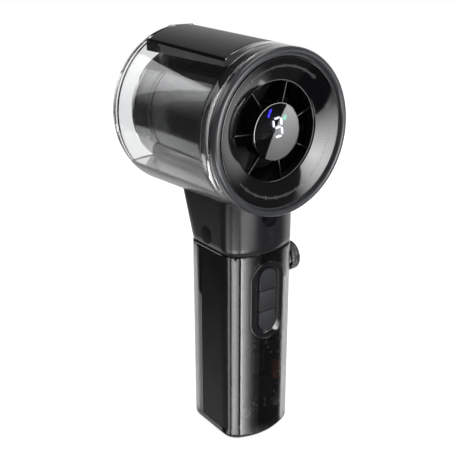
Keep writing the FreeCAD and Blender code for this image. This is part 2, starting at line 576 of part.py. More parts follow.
def draw_run(sketch, corners, closed=True):
    """Draw lines and arcs through corners, as a closed outline or as an open path."""
    points = [vector(corner.across.value, corner.up.value, 0) for corner in corners]
    base = sketch.GeometryCount
    ends = []
    for index in range(0 if closed else 1, len(corners)):
        corner = corners[index]
        if corner.radius is None:
            shape = Part.LineSegment(points[index - 1], points[index])
            ends.append((1, 2))
        else:
            shape = arc_between(points[index - 1], points[index], corner.radius.value, corner.left)
            ends.append((1, 2) if corner.left else (2, 1))
        item = sketch.addGeometry(shape, False)
        hold_point(sketch, item, ends[-1][1], corner)
        if corner.radius is not None:
            bound = sketch.addConstraint(Sketcher.Constraint("Radius", item, corner.radius.value))
            sketch.setExpression(f"Constraints[{bound}]", corner.radius.text)
    if not closed:
        hold_point(sketch, base, ends[0][0], corners[0])
    count = len(ends)
    for index in range(count if closed else count - 1):
        after = (index + 1) % count
        sketch.addConstraint(Sketcher.Constraint(
            "Coincident", base + index, ends[index][1], base + after, ends[after][0]))


def draw_circle(sketch, across, up, radius):
    """Draw a circle whose centre and radius are tied to the sheet."""
    radius = size(radius)
    corner = Corner(across, up)
    centre = vector(corner.across.value, corner.up.value, 0)
    item = sketch.addGeometry(Part.Circle(centre, vector(0, 0, 1), radius.value), False)
    hold_point(sketch, item, 3, corner)
    bound = sketch.addConstraint(Sketcher.Constraint("Radius", item, radius.value))
    sketch.setExpression(f"Constraints[{bound}]", radius.text)


def turned(corners, role="YZ_Plane", axis="H_Axis", spot=None):
    """A solid of revolution. On the head its outline is (along the axis, radius)."""
    body = doc.addObject("PartDesign::Body", "Turned")
    sketch = sketch_on(body, role)
    draw_run(sketch, corners)
    solid = body.newObject("PartDesign::Revolution", "Revolution")
    solid.Profile = sketch
    solid.ReferenceAxis = (sketch, [axis])
    solid.Angle = 360
    return place(body, *(spot or (0, 0, HEAD_HEIGHT)))


def padded(outlines, low, length, role="XY_Plane", spot=(0, 0, 0)):
    """A solid of constant outline. On the XZ plane it runs towards -Y from its start."""
    body = doc.addObject("PartDesign::Body", "Padded")
    sketch = sketch_on(body, role, low)
    for corners in outlines:
        draw_run(sketch, corners)
    pad = body.newObject("PartDesign::Pad", "Pad")
    pad.Profile = sketch
    pad.Length = size(length).value
    pad.setExpression("Length", size(length).text)
    return place(body, *spot)


def lofted(sections, role="XY_Plane", spot=(0, 0, 0)):
    """A solid drawn straight between outlines at several heights."""
    body = doc.addObject("PartDesign::Body", "Lofted")
    sketches = []
    for height, corners in sections:
        sketch = sketch_on(body, role, height)
        draw_run(sketch, corners)
        sketches.append(sketch)
    loft = body.newObject("PartDesign::AdditiveLoft", "Loft")
    loft.Profile = sketches[0]
    loft.Sections = sketches[1:]
    loft.Ruled = True
    return place(body, *spot)


def repeated(body, feature, count, axis="Y_Axis"):
    """Repeat a body's feature round one of its axes."""
    doc.recompute()
    pattern = body.newObject("PartDesign::PolarPattern", "Pattern")
    pattern.Originals = [feature]
    pattern.Axis = (origin_part(body, axis), [""])
    pattern.Angle = 360
    pattern.Occurrences = round(count.value)
    pattern.setExpression("Occurrences", count.text)
    body.Tip = pattern
    return body


def stadium(half_width, half_height, up=0, across=0):
    """An upright outline with round ends, drawn round a centre."""
    half_width = size(half_width)
    reach = size(half_height) - half_width
    left = size(across) - half_width
    right = size(across) + half_width
    low = size(up) - reach
    high = size(up) + reach
    return [
        Corner(left, high, half_width),
        Corner(left, low),
        Corner(across, low - half_width, half_width),
        Corner(right, low, half_width),
        Corner(right, high),
        Corner(across, high + half_width, half_width),
    ]


def plan(inset=0, back=None):
    """The handle's plan: flat flanks, round corners and a bowed front and back."""
    inset = size(inset)
    half = HALF_WIDTH - inset
    corner = CORNER - inset
    bow = BOW - inset
    front = HALF_DEPTH - inset
    back = HALF_DEPTH - inset if back is None else back - inset
    across = half - corner
    slope = root((bow - corner) * (bow - corner) - across * across)
    touch = across * bow / (bow - corner)
    rise = slope * bow / (bow - corner)
    front_flank = bow - front - slope
    front_touch = bow - front - rise
    back_flank = back - bow + slope
    back_touch = back - bow + rise
    return [
        Corner(-half, front_flank),
        Corner(-touch, front_touch, corner),
        Corner(touch, front_touch, bow),
        Corner(half, front_flank, corner),
        Corner(half, back_flank),
        Corner(touch, back_touch, corner),
        Corner(-touch, back_touch, bow),
        Corner(-half, back_flank, corner),
    ]


def flared(position, below=0):
    """The radius of the tank's outside at a place along the head."""
    return COLLAR_RADIUS + (size(position) - COLLAR_BACK) * FLARE - size(below)


def head_skin(below, front, back, bevel=0):
    """A full round of the head's outside, or of a surface that lies below it."""
    bevel = size(bevel)
    near = BEZEL_RADIUS + (COLLAR_RADIUS - BEZEL_RADIUS) * (
        (size(front) - BEZEL_BACK) / (COLLAR_BACK - BEZEL_BACK)) - size(below)
    outline = [Corner(front, 0), Corner(front, near)]
    if size(front).value < COLLAR_BACK.value:
        outline.append(Corner(COLLAR_BACK, COLLAR_RADIUS - size(below)))
    else:
        outline[1] = Corner(front, flared(front, below))
    if bevel.value > 0:
        outline.append(Corner(size(back) - bevel, flared(size(back) - bevel, below)))
        outline.append(Corner(back, flared(back, below) - bevel))
    else:
        outline.append(Corner(back, flared(back, below)))
    outline.append(Corner(back, 0))
    return turned(outline)


# How far a tool reaches when it has to be wider than the whole head, or just past a surface.
WIDE = 60
PAST = 1


def above(height):
    """Everything above a height over the head axis, wide enough for the whole head."""
    return block((-WIDE, -WIDE, HEAD_HEIGHT + size(height)), (WIDE, WIDE, HEAD_HEIGHT + WIDE))


def below(height):
    """Everything under a height over the head axis, wide enough for the whole head."""
    return block((-WIDE, -WIDE, HEAD_HEIGHT - WIDE), (WIDE, WIDE, HEAD_HEIGHT + size(height)))


def head_block(low, high):
    """A box whose heights are measured from the head axis."""
    bottom = HEAD_HEIGHT + size(low[2])
    top = HEAD_HEIGHT + size(high[2])
    return block((low[0], low[1], bottom), (high[0], high[1], top))


def head_rod(radius, front, back):
    """A cylinder round the head axis."""
    return rod(radius, (0, front, HEAD_HEIGHT), size(back) - size(front))


def head_ring(outer, inner, front, back):
    """A tube round the head axis."""
    return cut(head_rod(outer, front, back), head_rod(inner, front, back))


# The front of the head.

def bezel_ring():
    """Satin rim with a groove at its inner side and a sleeve that carries the collar."""
    outer = BEZEL_RADIUS
    groove = outer - RIM_WIDTH
    sleeve_in = SLEEVE_RADIUS - SLEEVE_WALL
    web_front = BEZEL_BACK - WEB
    flange = COLLAR_BACK - DUCT_WALL
    return keep("bezel_ring", turned([
        Corner(BEZEL_BACK, outer),
        Corner(BEZEL_FRONT + RIM_ROUND, outer),
        Corner(BEZEL_FRONT, outer - RIM_ROUND, RIM_ROUND, True),
        Corner(BEZEL_FRONT, groove + GROOVE_BEVEL),
        Corner(BEZEL_FRONT + GROOVE_BEVEL, groove),
        Corner(web_front, groove),
        Corner(web_front, sleeve_in),
        Corner(flange, sleeve_in),
        Corner(flange, SLEEVE_RADIUS),
        Corner(BEZEL_BACK, SLEEVE_RADIUS),
    ]))


def intake_cone():
    """Glossy cone that leads the air from the rim into the throat of the duct."""
    edge = BEZEL_RADIUS - RIM_WIDTH - GROOVE
    seat = BEZEL_BACK - WEB
    inside = SLEEVE_RADIUS - SLEEVE_WALL - CONE_FIT
    bore = DUCT_RADIUS - DUCT_WALL
    flange = COLLAR_BACK - DUCT_WALL
    return keep("intake_cone", turned([
        Corner(CONE_LIP, edge),
        Corner(THROAT_FRONT, THROAT_RADIUS),
        Corner(THROAT_FRONT + SPOKE_DEPTH * 2, THROAT_RADIUS),
        Corner(THROAT_BACK, bore - THROAT_LIP),
        Corner(THROAT_BACK, bore),
        Corner(flange, bore),
        Corner(seat + CONE_RIM, inside),
        Corner(seat, inside),
        Corner(seat, edge),
    ]))


def collar_ring():
    """Clear ring between the rim and the tank, open where the belly starts."""
    whole = turned([
        Corner(BEZEL_BACK, SLEEVE_RADIUS),
        Corner(BEZEL_BACK, BEZEL_RADIUS),
        Corner(COLLAR_BACK, COLLAR_RADIUS),
        Corner(COLLAR_BACK, SLEEVE_RADIUS),
    ])
    return keep("collar_ring", common(whole, above(-CHORD)))


def intake_grille():
    """Thin spokes that carry the display pod inside the throat."""
    rim_in = THROAT_RADIUS - GRILLE_RIM
    hub_in = POD_RADIUS - POD_WALL
    body = doc.addObject("PartDesign::Body", "Spokes")
    sketch = sketch_on(body, "XY_Plane", hub_in + POD_WALL / 2)
    half = SPOKE_WIDTH / 2
    front = LENS_FRONT + LENS_THICK
    draw_run(sketch, [
        Corner(-half, front), Corner(half, front),
        Corner(half, front + SPOKE_DEPTH), Corner(-half, front + SPOKE_DEPTH),
    ])
    spoke = body.newObject("PartDesign::Pad", "Spoke")
    spoke.Profile = sketch
    reach = rim_in + GRILLE_RIM / 2 - hub_in - POD_WALL / 2
    spoke.Length = reach.value
    spoke.setExpression("Length", reach.text)
    repeated(body, spoke, SPOKE_COUNT)
    place(body, 0, 0, HEAD_HEIGHT, FreeCAD.Rotation(vector(0, 1, 0), 180 - SPOKE_TURN.value))
    body.setExpression("Placement.Rotation.Angle", f"180 - {SPOKE_TURN.text}")
    rim = head_ring(THROAT_RADIUS, rim_in, front, THROAT_FRONT + SPOKE_DEPTH * 2)
    hub = head_ring(POD_RADIUS, hub_in, front, POD_BACK - POD_WALL)
    return keep("intake_grille", fuse(body, rim, hub))


# Back of the display board, where it rests on the housing's ledge.
BOARD_SEAT = LENS_FRONT + LENS_THICK + DISPLAY_GAP + BAR_DEPTH + DISPLAY_BOARD


def display_housing():
    """Round cup behind the lens that closes the pod."""
    outer = POD_RADIUS - POD_WALL
    inner = outer - DISPLAY_WALL
    ledge = inner - DISPLAY_LEDGE
    front = LENS_FRONT + LENS_THICK
    floor = POD_BACK - DISPLAY_WALL
    return keep("display_housing", turned([
        Corner(front, outer), Corner(POD_BACK, outer), Corner(POD_BACK, 0), Corner(floor, 0),
        Corner(floor, ledge), Corner(BOARD_SEAT, ledge), Corner(BOARD_SEAT, inner), Corner(front, inner),
    ]))


def display_board():
    """Small round board behind the digit."""
    radius = POD_RADIUS - POD_WALL - DISPLAY_WALL
    return keep("display_board", head_rod(radius, BOARD_SEAT - DISPLAY_BOARD, BOARD_SEAT))


def display_segments():
    """The seven bars of one digit, each a light of its own."""
    back = BOARD_SEAT - DISPLAY_BOARD
    front = back - BAR_DEPTH
    bars = []
    for level in (-1, 0, 1):
        up = DIGIT_LIFT + level * DIGIT_TALL
        bars.append(head_block((-BAR_REACH, front, up - BAR_HALF), (BAR_REACH, back, up + BAR_HALF)))
    for side in (-1, 1):
        for level in (-1, 1):
            across = side * DIGIT_HALF
            up = DIGIT_LIFT + level * DIGIT_TALL / 2
            bars.append(head_block((across - BAR_HALF, front, up - BAR_REACH),
                                   (across + BAR_HALF, back, up + BAR_REACH)))
    return keep("display_segments", group(bars))


def display_lens():
    """Dark glossy window over the whole pod."""
    rim = POD_RADIUS
    back = LENS_FRONT + LENS_THICK
    return keep("display_lens", turned([
        Corner(LENS_FRONT, 0), Corner(LENS_FRONT, rim - LENS_BEVEL), Corner(LENS_FRONT + LENS_BEVEL, rim),
        Corner(back, rim), Corner(back, 0),
    ]))


# The tank and its lid.

def tank_space(front, back):
    """The room for water between the tank's two walls and above its floor."""
    core = DUCT_RADIUS + DUCT_GAP + TANK_CORE_WALL
    whole = turned([
        Corner(front, core), Corner(front, flared(front, TANK_WALL)),
        Corner(back, flared(back, TANK_WALL)), Corner(back, core),
    ])
    return common(whole, above(FLOOR - CHORD))


def tank_core():
    """The round that the tank's inner wall fills, with the duct inside it."""
    return head_rod(DUCT_RADIUS + DUCT_GAP + TANK_CORE_WALL, COLLAR_BACK, TANK_END)


def lid_window():
    """The opening in the top of the tank that the lid and its frame fill."""
    half = LID_HALF + LID_GAP
    opening = head_block((-half, LID_FRONT - LID_GAP, FRAME_LOW), (half, TANK_END - END_WALL, WIDE))
    return cut(opening, tank_core())


def wick_bore(radius, start, stop):
    """A channel from the mist unit sideways into the tank."""
    middle = OUTLET_FRONT + OUTLET_DEPTH / 2
    return rod(radius, (start, middle, HEAD_HEIGHT), size(stop) - size(start), "x")


def tank_shell():
    """Clear ring-shaped tank with a flat floor, open at its far end."""
    core = DUCT_RADIUS + DUCT_GAP
    whole = turned([
        Corner(COLLAR_BACK, core), Corner(COLLAR_BACK, COLLAR_RADIUS),
        Corner(TANK_SEAM, flared(TANK_SEAM)), Corner(TANK_SEAM, core),
    ])
    shell = common(whole, above(-CHORD))
    room = tank_space(COLLAR_BACK + TANK_WALL, TANK_SEAM)
    bore = wick_bore(WICK_TUBE, DUCT_RADIUS, WICK_REACH)
    return keep("tank_shell", cut(shell, room, lid_window(), bore))


def lid_seat_round():
    """The rounded surface that the lid's frame and hinge block end at, just under the lid."""
    return head_skin(LID_THICK + LID_GAP, LID_FRONT - LID_GAP, TANK_END)


def tank_end_cap():
    """Clear end ring with the far wall, the block under the lid's back and its two knuckles."""
    core = DUCT_RADIUS + DUCT_GAP
    inner = core + TANK_CORE_WALL
    wall = TANK_END - END_WALL
    whole = turned([
        Corner(TANK_SEAM, flared(TANK_SEAM, TANK_WALL)), Corner(TANK_SEAM, flared(TANK_SEAM)),
        Corner(TANK_END - END_ROUND, flared(TANK_END - END_ROUND)),
        Corner(TANK_END, flared(TANK_END) - END_ROUND), Corner(TANK_END, core),
        Corner(TANK_SEAM, core), Corner(TANK_SEAM, inner), Corner(wall, inner),
        Corner(wall, flared(wall, TANK_WALL)),
    ])
    floor = head_block((-WIDE, TANK_SEAM, -CHORD), (WIDE, wall, FLOOR - CHORD))
    inside = common(floor, head_ring(flared(TANK_SEAM, TANK_WALL), inner, TANK_SEAM, wall))
    ring_part = cut(common(fuse(whole, inside), above(-CHORD)), lid_window())
    half = LID_HALF + LID_GAP
    bridge = common(head_block((-half, FRAME_BACK, FRAME_LOW), (half, wall, WIDE)), lid_seat_round())
    knuckles = rod(KNUCKLE, (-PIN_HALF, HINGE_ALONG, HEAD_HEIGHT + HINGE_UP), PIN_HALF * 2, "x")
    clear = KNUCKLE_HALF + KNUCKLE_GAP
    notch = head_block((-clear, HINGE_ALONG - KNUCKLE - LID_GAP, HINGE_UP - KNUCKLE - LID_GAP),
                       (clear, TANK_END + PAST, WIDE))
    pin = rod(PIN_RADIUS, (-PIN_HALF, HINGE_ALONG, HEAD_HEIGHT + HINGE_UP), PIN_HALF * 2, "x")
    inside_core = head_rod(core, COLLAR_BACK, TANK_END + PAST)
    solid = fuse(ring_part, cut(bridge, tank_core()), knuckles)
    return keep("tank_end_cap", cut(solid, notch, pin, inside_core))


def filler_frame():
    """Frosted frame round the filling hole under the lid."""
    half = LID_HALF + LID_GAP
    front = LID_FRONT - LID_GAP
    outer = head_block((-half, front, FRAME_LOW), (half, FRAME_BACK, WIDE))
    inner = head_block((-half + FRAME_WALL, front + FRAME_WALL, FRAME_LOW - PAST),
                       (half - FRAME_WALL, FRAME_BACK - FRAME_WALL, WIDE))
    return keep("filler_frame", cut(common(cut(outer, inner), lid_seat_round()), tank_core()))


def lid_cover():
    """Curved lid that lies flush in the top of the tank, with a knuckle at its back."""
    hollow = head_skin(LID_THICK, LID_FRONT - PAST, LID_BACK + PAST)
    ring_part = cut(head_skin(0, LID_FRONT, LID_BACK), hollow)
    panel = common(ring_part, head_block((-LID_HALF, LID_FRONT, 0), (LID_HALF, LID_BACK, WIDE)))
    knuckle = rod(KNUCKLE, (-KNUCKLE_HALF, HINGE_ALONG, HEAD_HEIGHT + HINGE_UP), KNUCKLE_HALF * 2, "x")
    top = HINGE_UP + KNUCKLE
    tab = head_block((-KNUCKLE_HALF, LID_BACK - LID_TAB_ROOT, top - LID_TAB),
                     (KNUCKLE_HALF, HINGE_ALONG, top - LID_TAB_SINK))
    hole = rod(PIN_RADIUS + PIN_FIT, (-KNUCKLE_HALF, HINGE_ALONG, HEAD_HEIGHT + HINGE_UP),
               KNUCKLE_HALF * 2, "x")
    return keep("lid_cover", cut(fuse(panel, knuckle, tab), hole))


def lid_gasket():
    """Soft ring under the lid that closes the filling hole."""
    half = LID_HALF + LID_GAP - FRAME_WALL - LID_GAP
    front = LID_FRONT - LID_GAP + FRAME_WALL + LID_GAP * 3
    back = FRAME_BACK - FRAME_WALL - LID_GAP
    outer = head_block((-half, front, 0), (half, back, WIDE))
    inner = head_block((-half + GASKET_WALL, front + GASKET_WALL, 0),
                       (half - GASKET_WALL, back - GASKET_WALL, WIDE))
    skin = cut(head_skin(LID_THICK, LID_FRONT, LID_BACK),
               head_skin(LID_THICK + GASKET_DEPTH, LID_FRONT - PAST, LID_BACK + PAST))
    return keep("lid_gasket", common(cut(outer, inner), skin))


def lid_hinge_pin():
    """Steel pin that the lid turns on."""
    return keep("lid_hinge_pin",
                rod(PIN_RADIUS, (-PIN_HALF, HINGE_ALONG, HEAD_HEIGHT + HINGE_UP), PIN_HALF * 2, "x"))


# The duct with the fan, the motor and the mist unit.

def lead_channel(low, high):
    """The upright channel that the motor leads run through."""
    return rod(LEAD_HOLE, (0, LEAD_ALONG, low), size(high) - size(low), "z")


def duct_tube():
    """Glossy black air duct with a flange at its front."""
    bore = DUCT_RADIUS - DUCT_WALL
    flange = COLLAR_BACK - DUCT_WALL
    tube = turned([
        Corner(flange, bore), Corner(flange, SLEEVE_RADIUS), Corner(COLLAR_BACK, SLEEVE_RADIUS),
        Corner(COLLAR_BACK, DUCT_RADIUS), Corner(DUCT_END, DUCT_RADIUS), Corner(DUCT_END, bore),
    ])
    channel = lead_channel(HEAD_HEIGHT - DUCT_RADIUS - PAST, HEAD_HEIGHT - bore + PAST)
    return keep("duct_tube", cut(tube, channel, wick_bore(WICK_TUBE, bore - PAST, DUCT_RADIUS + PAST)))


def impeller():
    """Bladed fan wheel on the motor shaft."""
    tip = DUCT_RADIUS - DUCT_WALL - TIP_GAP
    inside = HUB_RADIUS - HUB_WALL
    hub = turned([
        Corner(HUB_FRONT, SHAFT_RADIUS), Corner(HUB_FRONT, BOSS_RADIUS),
        Corner(HUB_FRONT + NOSE_LENGTH, HUB_RADIUS, NOSE_ROUND, False), Corner(HUB_BACK, HUB_RADIUS),
        Corner(HUB_BACK, inside), Corner(HUB_FRONT + NOSE_LENGTH + HUB_STEP, inside),
        Corner(HUB_FRONT + NOSE_FLOOR, BOSS_RADIUS), Corner(HUB_BACK - BOSS_INSET, BOSS_RADIUS),
        Corner(HUB_BACK - BOSS_INSET, SHAFT_RADIUS),
    ])
    body = doc.addObject("PartDesign::Body", "Blades")
    sketch = sketch_on(body, "XY_Plane", inside)
    slant = BLADE_SLANT
    draw_run(sketch, [
        Corner(-slant - BLADE_HALF, BLADE_FRONT, BLADE_BOW, False), Corner(BLADE_HALF - slant, BLADE_FRONT),
        Corner(slant + BLADE_HALF, BLADE_BACK, BLADE_BOW, True), Corner(slant - BLADE_HALF, BLADE_BACK),
    ])
    blade = body.newObject("PartDesign::Pad", "Blade")
    blade.Profile = sketch
    reach = tip + PAST - inside
    blade.Length = reach.value
    blade.setExpression("Length", reach.text)
    repeated(body, blade, BLADE_COUNT)
    place(body, 0, 0, HEAD_HEIGHT)
    envelope = head_ring(tip, HUB_RADIUS - HUB_WALL / 2, BLADE_FRONT - PAST, BLADE_BACK + PAST)
    return keep("impeller", fuse(hub, common(body, envelope)))


def impeller_nut():
    """Round nut that holds the fan wheel on its shaft."""
    return keep("impeller_nut", head_ring(NUT_RADIUS, SHAFT_RADIUS, HUB_FRONT - NUT_THICK, HUB_FRONT))


def motor_shaft():
    """Steel shaft of the motor."""
    return keep("motor_shaft", head_rod(SHAFT_RADIUS, SHAFT_FRONT, SHAFT_BACK))


def motor_magnet():
    """Round magnet on the shaft, inside the stator."""
    front = STATOR_FRONT + MAGNET_INSET
    back = STATOR_BACK - MAGNET_INSET
    return keep("motor_magnet", head_ring(MAGNET_RADIUS, SHAFT_RADIUS, front, back))


def motor_can():
    """Thin motor can that seats both bearings and the stator."""
    inner = MOTOR_RADIUS - MOTOR_WALL
    seat = BEARING_RADIUS + BEARING_SEAT
    opening = SHAFT_RADIUS + SHAFT_ROOM
    return keep("motor_can", turned([
        Corner(MOTOR_FRONT, opening), Corner(MOTOR_FRONT, MOTOR_RADIUS),
        Corner(MOTOR_BACK, MOTOR_RADIUS), Corner(MOTOR_BACK, BEARING_RADIUS),
        Corner(MOTOR_BACK - BEARING_WIDE, BEARING_RADIUS), Corner(MOTOR_BACK - BEARING_WIDE, seat),
        Corner(MOTOR_BACK - MOTOR_WALL, seat), Corner(MOTOR_BACK - MOTOR_WALL, inner),
        Corner(MOTOR_FRONT + MOTOR_WALL, inner), Corner(MOTOR_FRONT + MOTOR_WALL, seat),
        Corner(MOTOR_FRONT + MOTOR_WALL + BEARING_WIDE, seat),
        Corner(MOTOR_FRONT + MOTOR_WALL + BEARING_WIDE, BEARING_RADIUS),
        Corner(MOTOR_FRONT + MOTOR_WALL, BEARING_RADIUS), Corner(MOTOR_FRONT + MOTOR_WALL, opening),
    ]))


def motor_bearings():
    """Two ball bearings, each made as one ring."""
    fronts = (MOTOR_FRONT + MOTOR_WALL, MOTOR_BACK - BEARING_WIDE)
    return keep("motor_bearings", group([
        head_ring(BEARING_RADIUS, SHAFT_RADIUS + PIN_FIT, front, front + BEARING_WIDE) for front in fronts]))


def motor_stator():
    """Laminated stator with slots towards its bore."""
    outer = MOTOR_RADIUS - MOTOR_WALL
    core = head_ring(outer, STATOR_BORE, STATOR_FRONT, STATOR_BACK)
    slots = []
    for index in range(round(SLOT_COUNT.value)):
        slot = block((-SLOT_WIDE / 2, 0, STATOR_BORE - PAST),
                     (SLOT_WIDE / 2, STATOR_BACK + PAST, STATOR_BORE + SLOT_DEEP))
        turn = FreeCAD.Rotation(vector(0, 1, 0), 360 * (index + 0.5) / SLOT_COUNT.value)
        holder = group([slot])
        place(holder, 0, 0, HEAD_HEIGHT, turn)
        slots.append(holder)
    return keep("motor_stator", cut(core, group(slots)))


def motor_mount():
    """Sleeve that holds the motor in the duct with its guide vanes and one hollow strut."""
    bore = DUCT_RADIUS - DUCT_WALL
    outer = MOTOR_RADIUS + MOUNT_WALL
    body = doc.addObject("PartDesign::Body", "Vanes")
    sketch = sketch_on(body, "XY_Plane", MOTOR_RADIUS + MOUNT_WALL / 2)
    half = VANE_THICK / 2
    draw_run(sketch, [
        Corner(-half, MOTOR_FRONT + VANE_NOSE), Corner(half, MOTOR_FRONT + VANE_NOSE),
        Corner(half, MOTOR_BACK - VANE_TAIL), Corner(-half, MOTOR_BACK - VANE_TAIL),
    ])
    vane = body.newObject("PartDesign::Pad", "Vane")
    vane.Profile = sketch
    reach = bore + PAST - MOTOR_RADIUS - MOUNT_WALL / 2
    vane.Length = reach.value
    vane.setExpression("Length", reach.text)
    repeated(body, vane, VANE_COUNT)
    place(body, 0, 0, HEAD_HEIGHT, FreeCAD.Rotation(vector(0, 1, 0), 180))
    sleeve = head_rod(outer, MOTOR_FRONT, MOTOR_BACK)
    wide = STRUT_HALF + STRUT_WALL
    strut = head_block((-wide, LEAD_ALONG - wide, -bore - PAST),
                       (wide, LEAD_ALONG + wide, PAST - MOTOR_RADIUS))
    solid = common(fuse(body, sleeve, strut), head_rod(bore, MOTOR_FRONT, MOTOR_BACK))
    channel = lead_channel(HEAD_HEIGHT - DUCT_RADIUS, HEAD_HEIGHT - MOTOR_RADIUS + PAST)
    return keep("motor_mount", cut(solid, head_rod(MOTOR_RADIUS, MOTOR_FRONT, MOTOR_BACK), channel))


def outlet_grille():
    """Spoked ring at the end of the duct that carries the mist unit."""
    bore = DUCT_RADIUS - DUCT_WALL
    back = OUTLET_FRONT + OUTLET_DEPTH
    hub_out = MIST_RADIUS + OUTLET_HUB
    body = doc.addObject("PartDesign::Body", "OutletSpokes")
    sketch = sketch_on(body, "XY_Plane", MIST_RADIUS + OUTLET_HUB / 2)
    half = OUTLET_WIDTH / 2
    draw_run(sketch, [
        Corner(-half, OUTLET_FRONT), Corner(half, OUTLET_FRONT), Corner(half, back), Corner(-half, back),
    ])
    spoke = body.newObject("PartDesign::Pad", "OutletSpoke")
    spoke.Profile = sketch
    reach = bore - OUTLET_RIM / 2 - MIST_RADIUS - OUTLET_HUB / 2
    spoke.Length = reach.value
    spoke.setExpression("Length", reach.text)
    repeated(body, spoke, OUTLET_SPOKE_COUNT)
    place(body, 0, 0, HEAD_HEIGHT, FreeCAD.Rotation(vector(0, 1, 0), 180 / OUTLET_SPOKE_COUNT.value))
    body.setExpression("Placement.Rotation.Angle", f"180 / {OUTLET_SPOKE_COUNT.text}")
    rim = head_ring(bore, bore - OUTLET_RIM, OUTLET_FRONT, back)
    hub = head_ring(hub_out, MIST_RADIUS, OUTLET_FRONT, back)
    return keep("outlet_grille", cut(fuse(body, rim, hub), wick_bore(WICK_TUBE, 0, bore + PAST)))


def outlet_ring():
    """Bright ring at the end of the duct."""
    outer = DUCT_RADIUS + DUCT_GAP
    inner = DUCT_RADIUS - DUCT_WALL
    return keep("outlet_ring", head_ring(outer, inner, DUCT_END, TANK_END - RING_SINK))


def mist_housing():
    """Cup in the middle of the outlet that holds the mist disc."""
    inner = MIST_RADIUS - MIST_WALL
    cup = turned([
        Corner(MIST_FRONT, 0), Corner(MIST_FRONT, MIST_RADIUS - MIST_BEVEL),
        Corner(MIST_FRONT + MIST_BEVEL, MIST_RADIUS),
        Corner(MIST_BACK - MIST_ROUND, MIST_RADIUS), Corner(MIST_BACK, MIST_RADIUS - MIST_ROUND),
        Corner(MIST_BACK, MIST_MOUTH + MOUTH_FLARE), Corner(MIST_BACK - MIST_WALL, MIST_MOUTH),
        Corner(MIST_BACK - MIST_WALL, inner), Corner(MIST_FRONT + MIST_BEVEL, inner),
        Corner(MIST_FRONT + MIST_WALL, inner - MIST_BEVEL), Corner(MIST_FRONT + MIST_WALL, 0),
    ])
    return keep("mist_housing", cut(cup, wick_bore(WICK_TUBE, 0, MIST_RADIUS + PAST)))


def mist_disc():
    """Thin metal disc that shakes the water into mist."""
    back = MIST_BACK - MIST_WALL - DISC_SEAT
    return keep("mist_disc", head_rod(DISC_RADIUS, back - DISC_THICK, back))


def mist_seal():
    """Soft ring that clamps the mist disc in its cup."""
    back = MIST_BACK - MIST_WALL
    inner = MIST_RADIUS - MIST_WALL
    low = DISC_RADIUS - SEAL_LIP
    front = back - DISC_THICK - SEAL_BACK
    seat = back - DISC_SEAT
    return keep("mist_seal", turned([
        Corner(front, low), Corner(front, inner), Corner(back, inner), Corner(back, low),
        Corner(seat, low), Corner(seat, DISC_RADIUS),
        Corner(seat - DISC_THICK, DISC_RADIUS), Corner(seat - DISC_THICK, low),
    ]))


def mist_wick():
    """Cotton wick that brings the water from the tank to the disc."""
    middle = OUTLET_FRONT + OUTLET_DEPTH / 2
    across = rod(WICK_RADIUS, (-WICK_RADIUS, middle, HEAD_HEIGHT), WICK_REACH + WICK_RADIUS, "x")
    disc = MIST_BACK - MIST_WALL - DISC_SEAT - DISC_THICK
    return keep("mist_wick", fuse(across, head_rod(WICK_RADIUS, middle, disc)))


def wick_tube():
    """Tight tube round the wick, between two spokes and through the duct and the tank's inner wall."""
    start = MIST_RADIUS - MIST_WALL
    stop = WICK_REACH - WICK_BARE
    middle = OUTLET_FRONT + OUTLET_DEPTH / 2
    spot = (start, middle, HEAD_HEIGHT)
    return keep("wick_tube", ring(WICK_TUBE, WICK_RADIUS, spot, stop - start, "x"))


def lead_path(across):
    """One motor lead: down through the strut and the neck, then forward to the board."""
    high = HEAD_HEIGHT - MOTOR_RADIUS
    level = HANDLE_TOP + NECK_SEAM + LEAD_LEVEL
    bend = LEAD_BEND
    board = BOARD_FRONT + BOARD_THICK / 2
    body = doc.addObject("PartDesign::Body", "Lead")
    path = sketch_on(body, "YZ_Plane", across)
    draw_run(path, [
        Corner(LEAD_ALONG, high), Corner(LEAD_ALONG, level + bend),
        Corner(LEAD_ALONG - bend, level, bend, False), Corner(board + bend, level),
        Corner(board, level - bend, bend, True), Corner(board, BOARD_TOP),
    ], closed=False)
    profile = sketch_on(body, "XY_Plane", high)
    draw_circle(profile, across, LEAD_ALONG, LEAD_RADIUS)
    pipe = body.newObject("PartDesign::AdditivePipe", "Pipe")
    pipe.Profile = profile
    pipe.Spine = (path, [f"Edge{number + 1}" for number in range(path.GeometryCount)])
    return body


def motor_leads():
    """Three leads from the motor to the main board."""
    return keep("motor_leads", group([lead_path(LEAD_STEP * step) for step in (-1, 0, 1)]))


# The belly under the tank and the neck.

def belly_space():
    """The hollow inside the belly."""
    inner = head_skin(BELLY_WALL, COLLAR_BACK, TANK_END - BELLY_WALL)
    return common(inner, below(-CHORD - BELLY_PLATE))


def belly_cover():
    """Opaque lower part of the head, closed by a flat plate under the tank."""
    outer = common(head_skin(0, BEZEL_BACK, TANK_END, END_ROUND), below(-CHORD))
    duct = head_rod(DUCT_RADIUS, BEZEL_BACK - PAST, TANK_END + PAST)
    sleeve = head_rod(SLEEVE_RADIUS, BEZEL_BACK - PAST, COLLAR_BACK)
    outlet = head_rod(DUCT_RADIUS + DUCT_GAP, DUCT_END, TANK_END + PAST)
    channel = lead_channel(NECK_TOP - WIDE, HEAD_HEIGHT - CHORD)
    screws = screw_holes(SADDLE_SPOTS, SADDLE_SCREWS) + head_wells(SADDLE_SPOTS, HANDLE_TOP, SADDLE_SCREWS)
    return keep("belly_cover", cut(outer, belly_space(), duct, sleeve, outlet, channel, *screws))


def four_spots(across, near, far):
    """Four places, two on each side of the middle."""
    return [(side * across, along_head) for along_head in (near, far) for side in (-1, 1)]


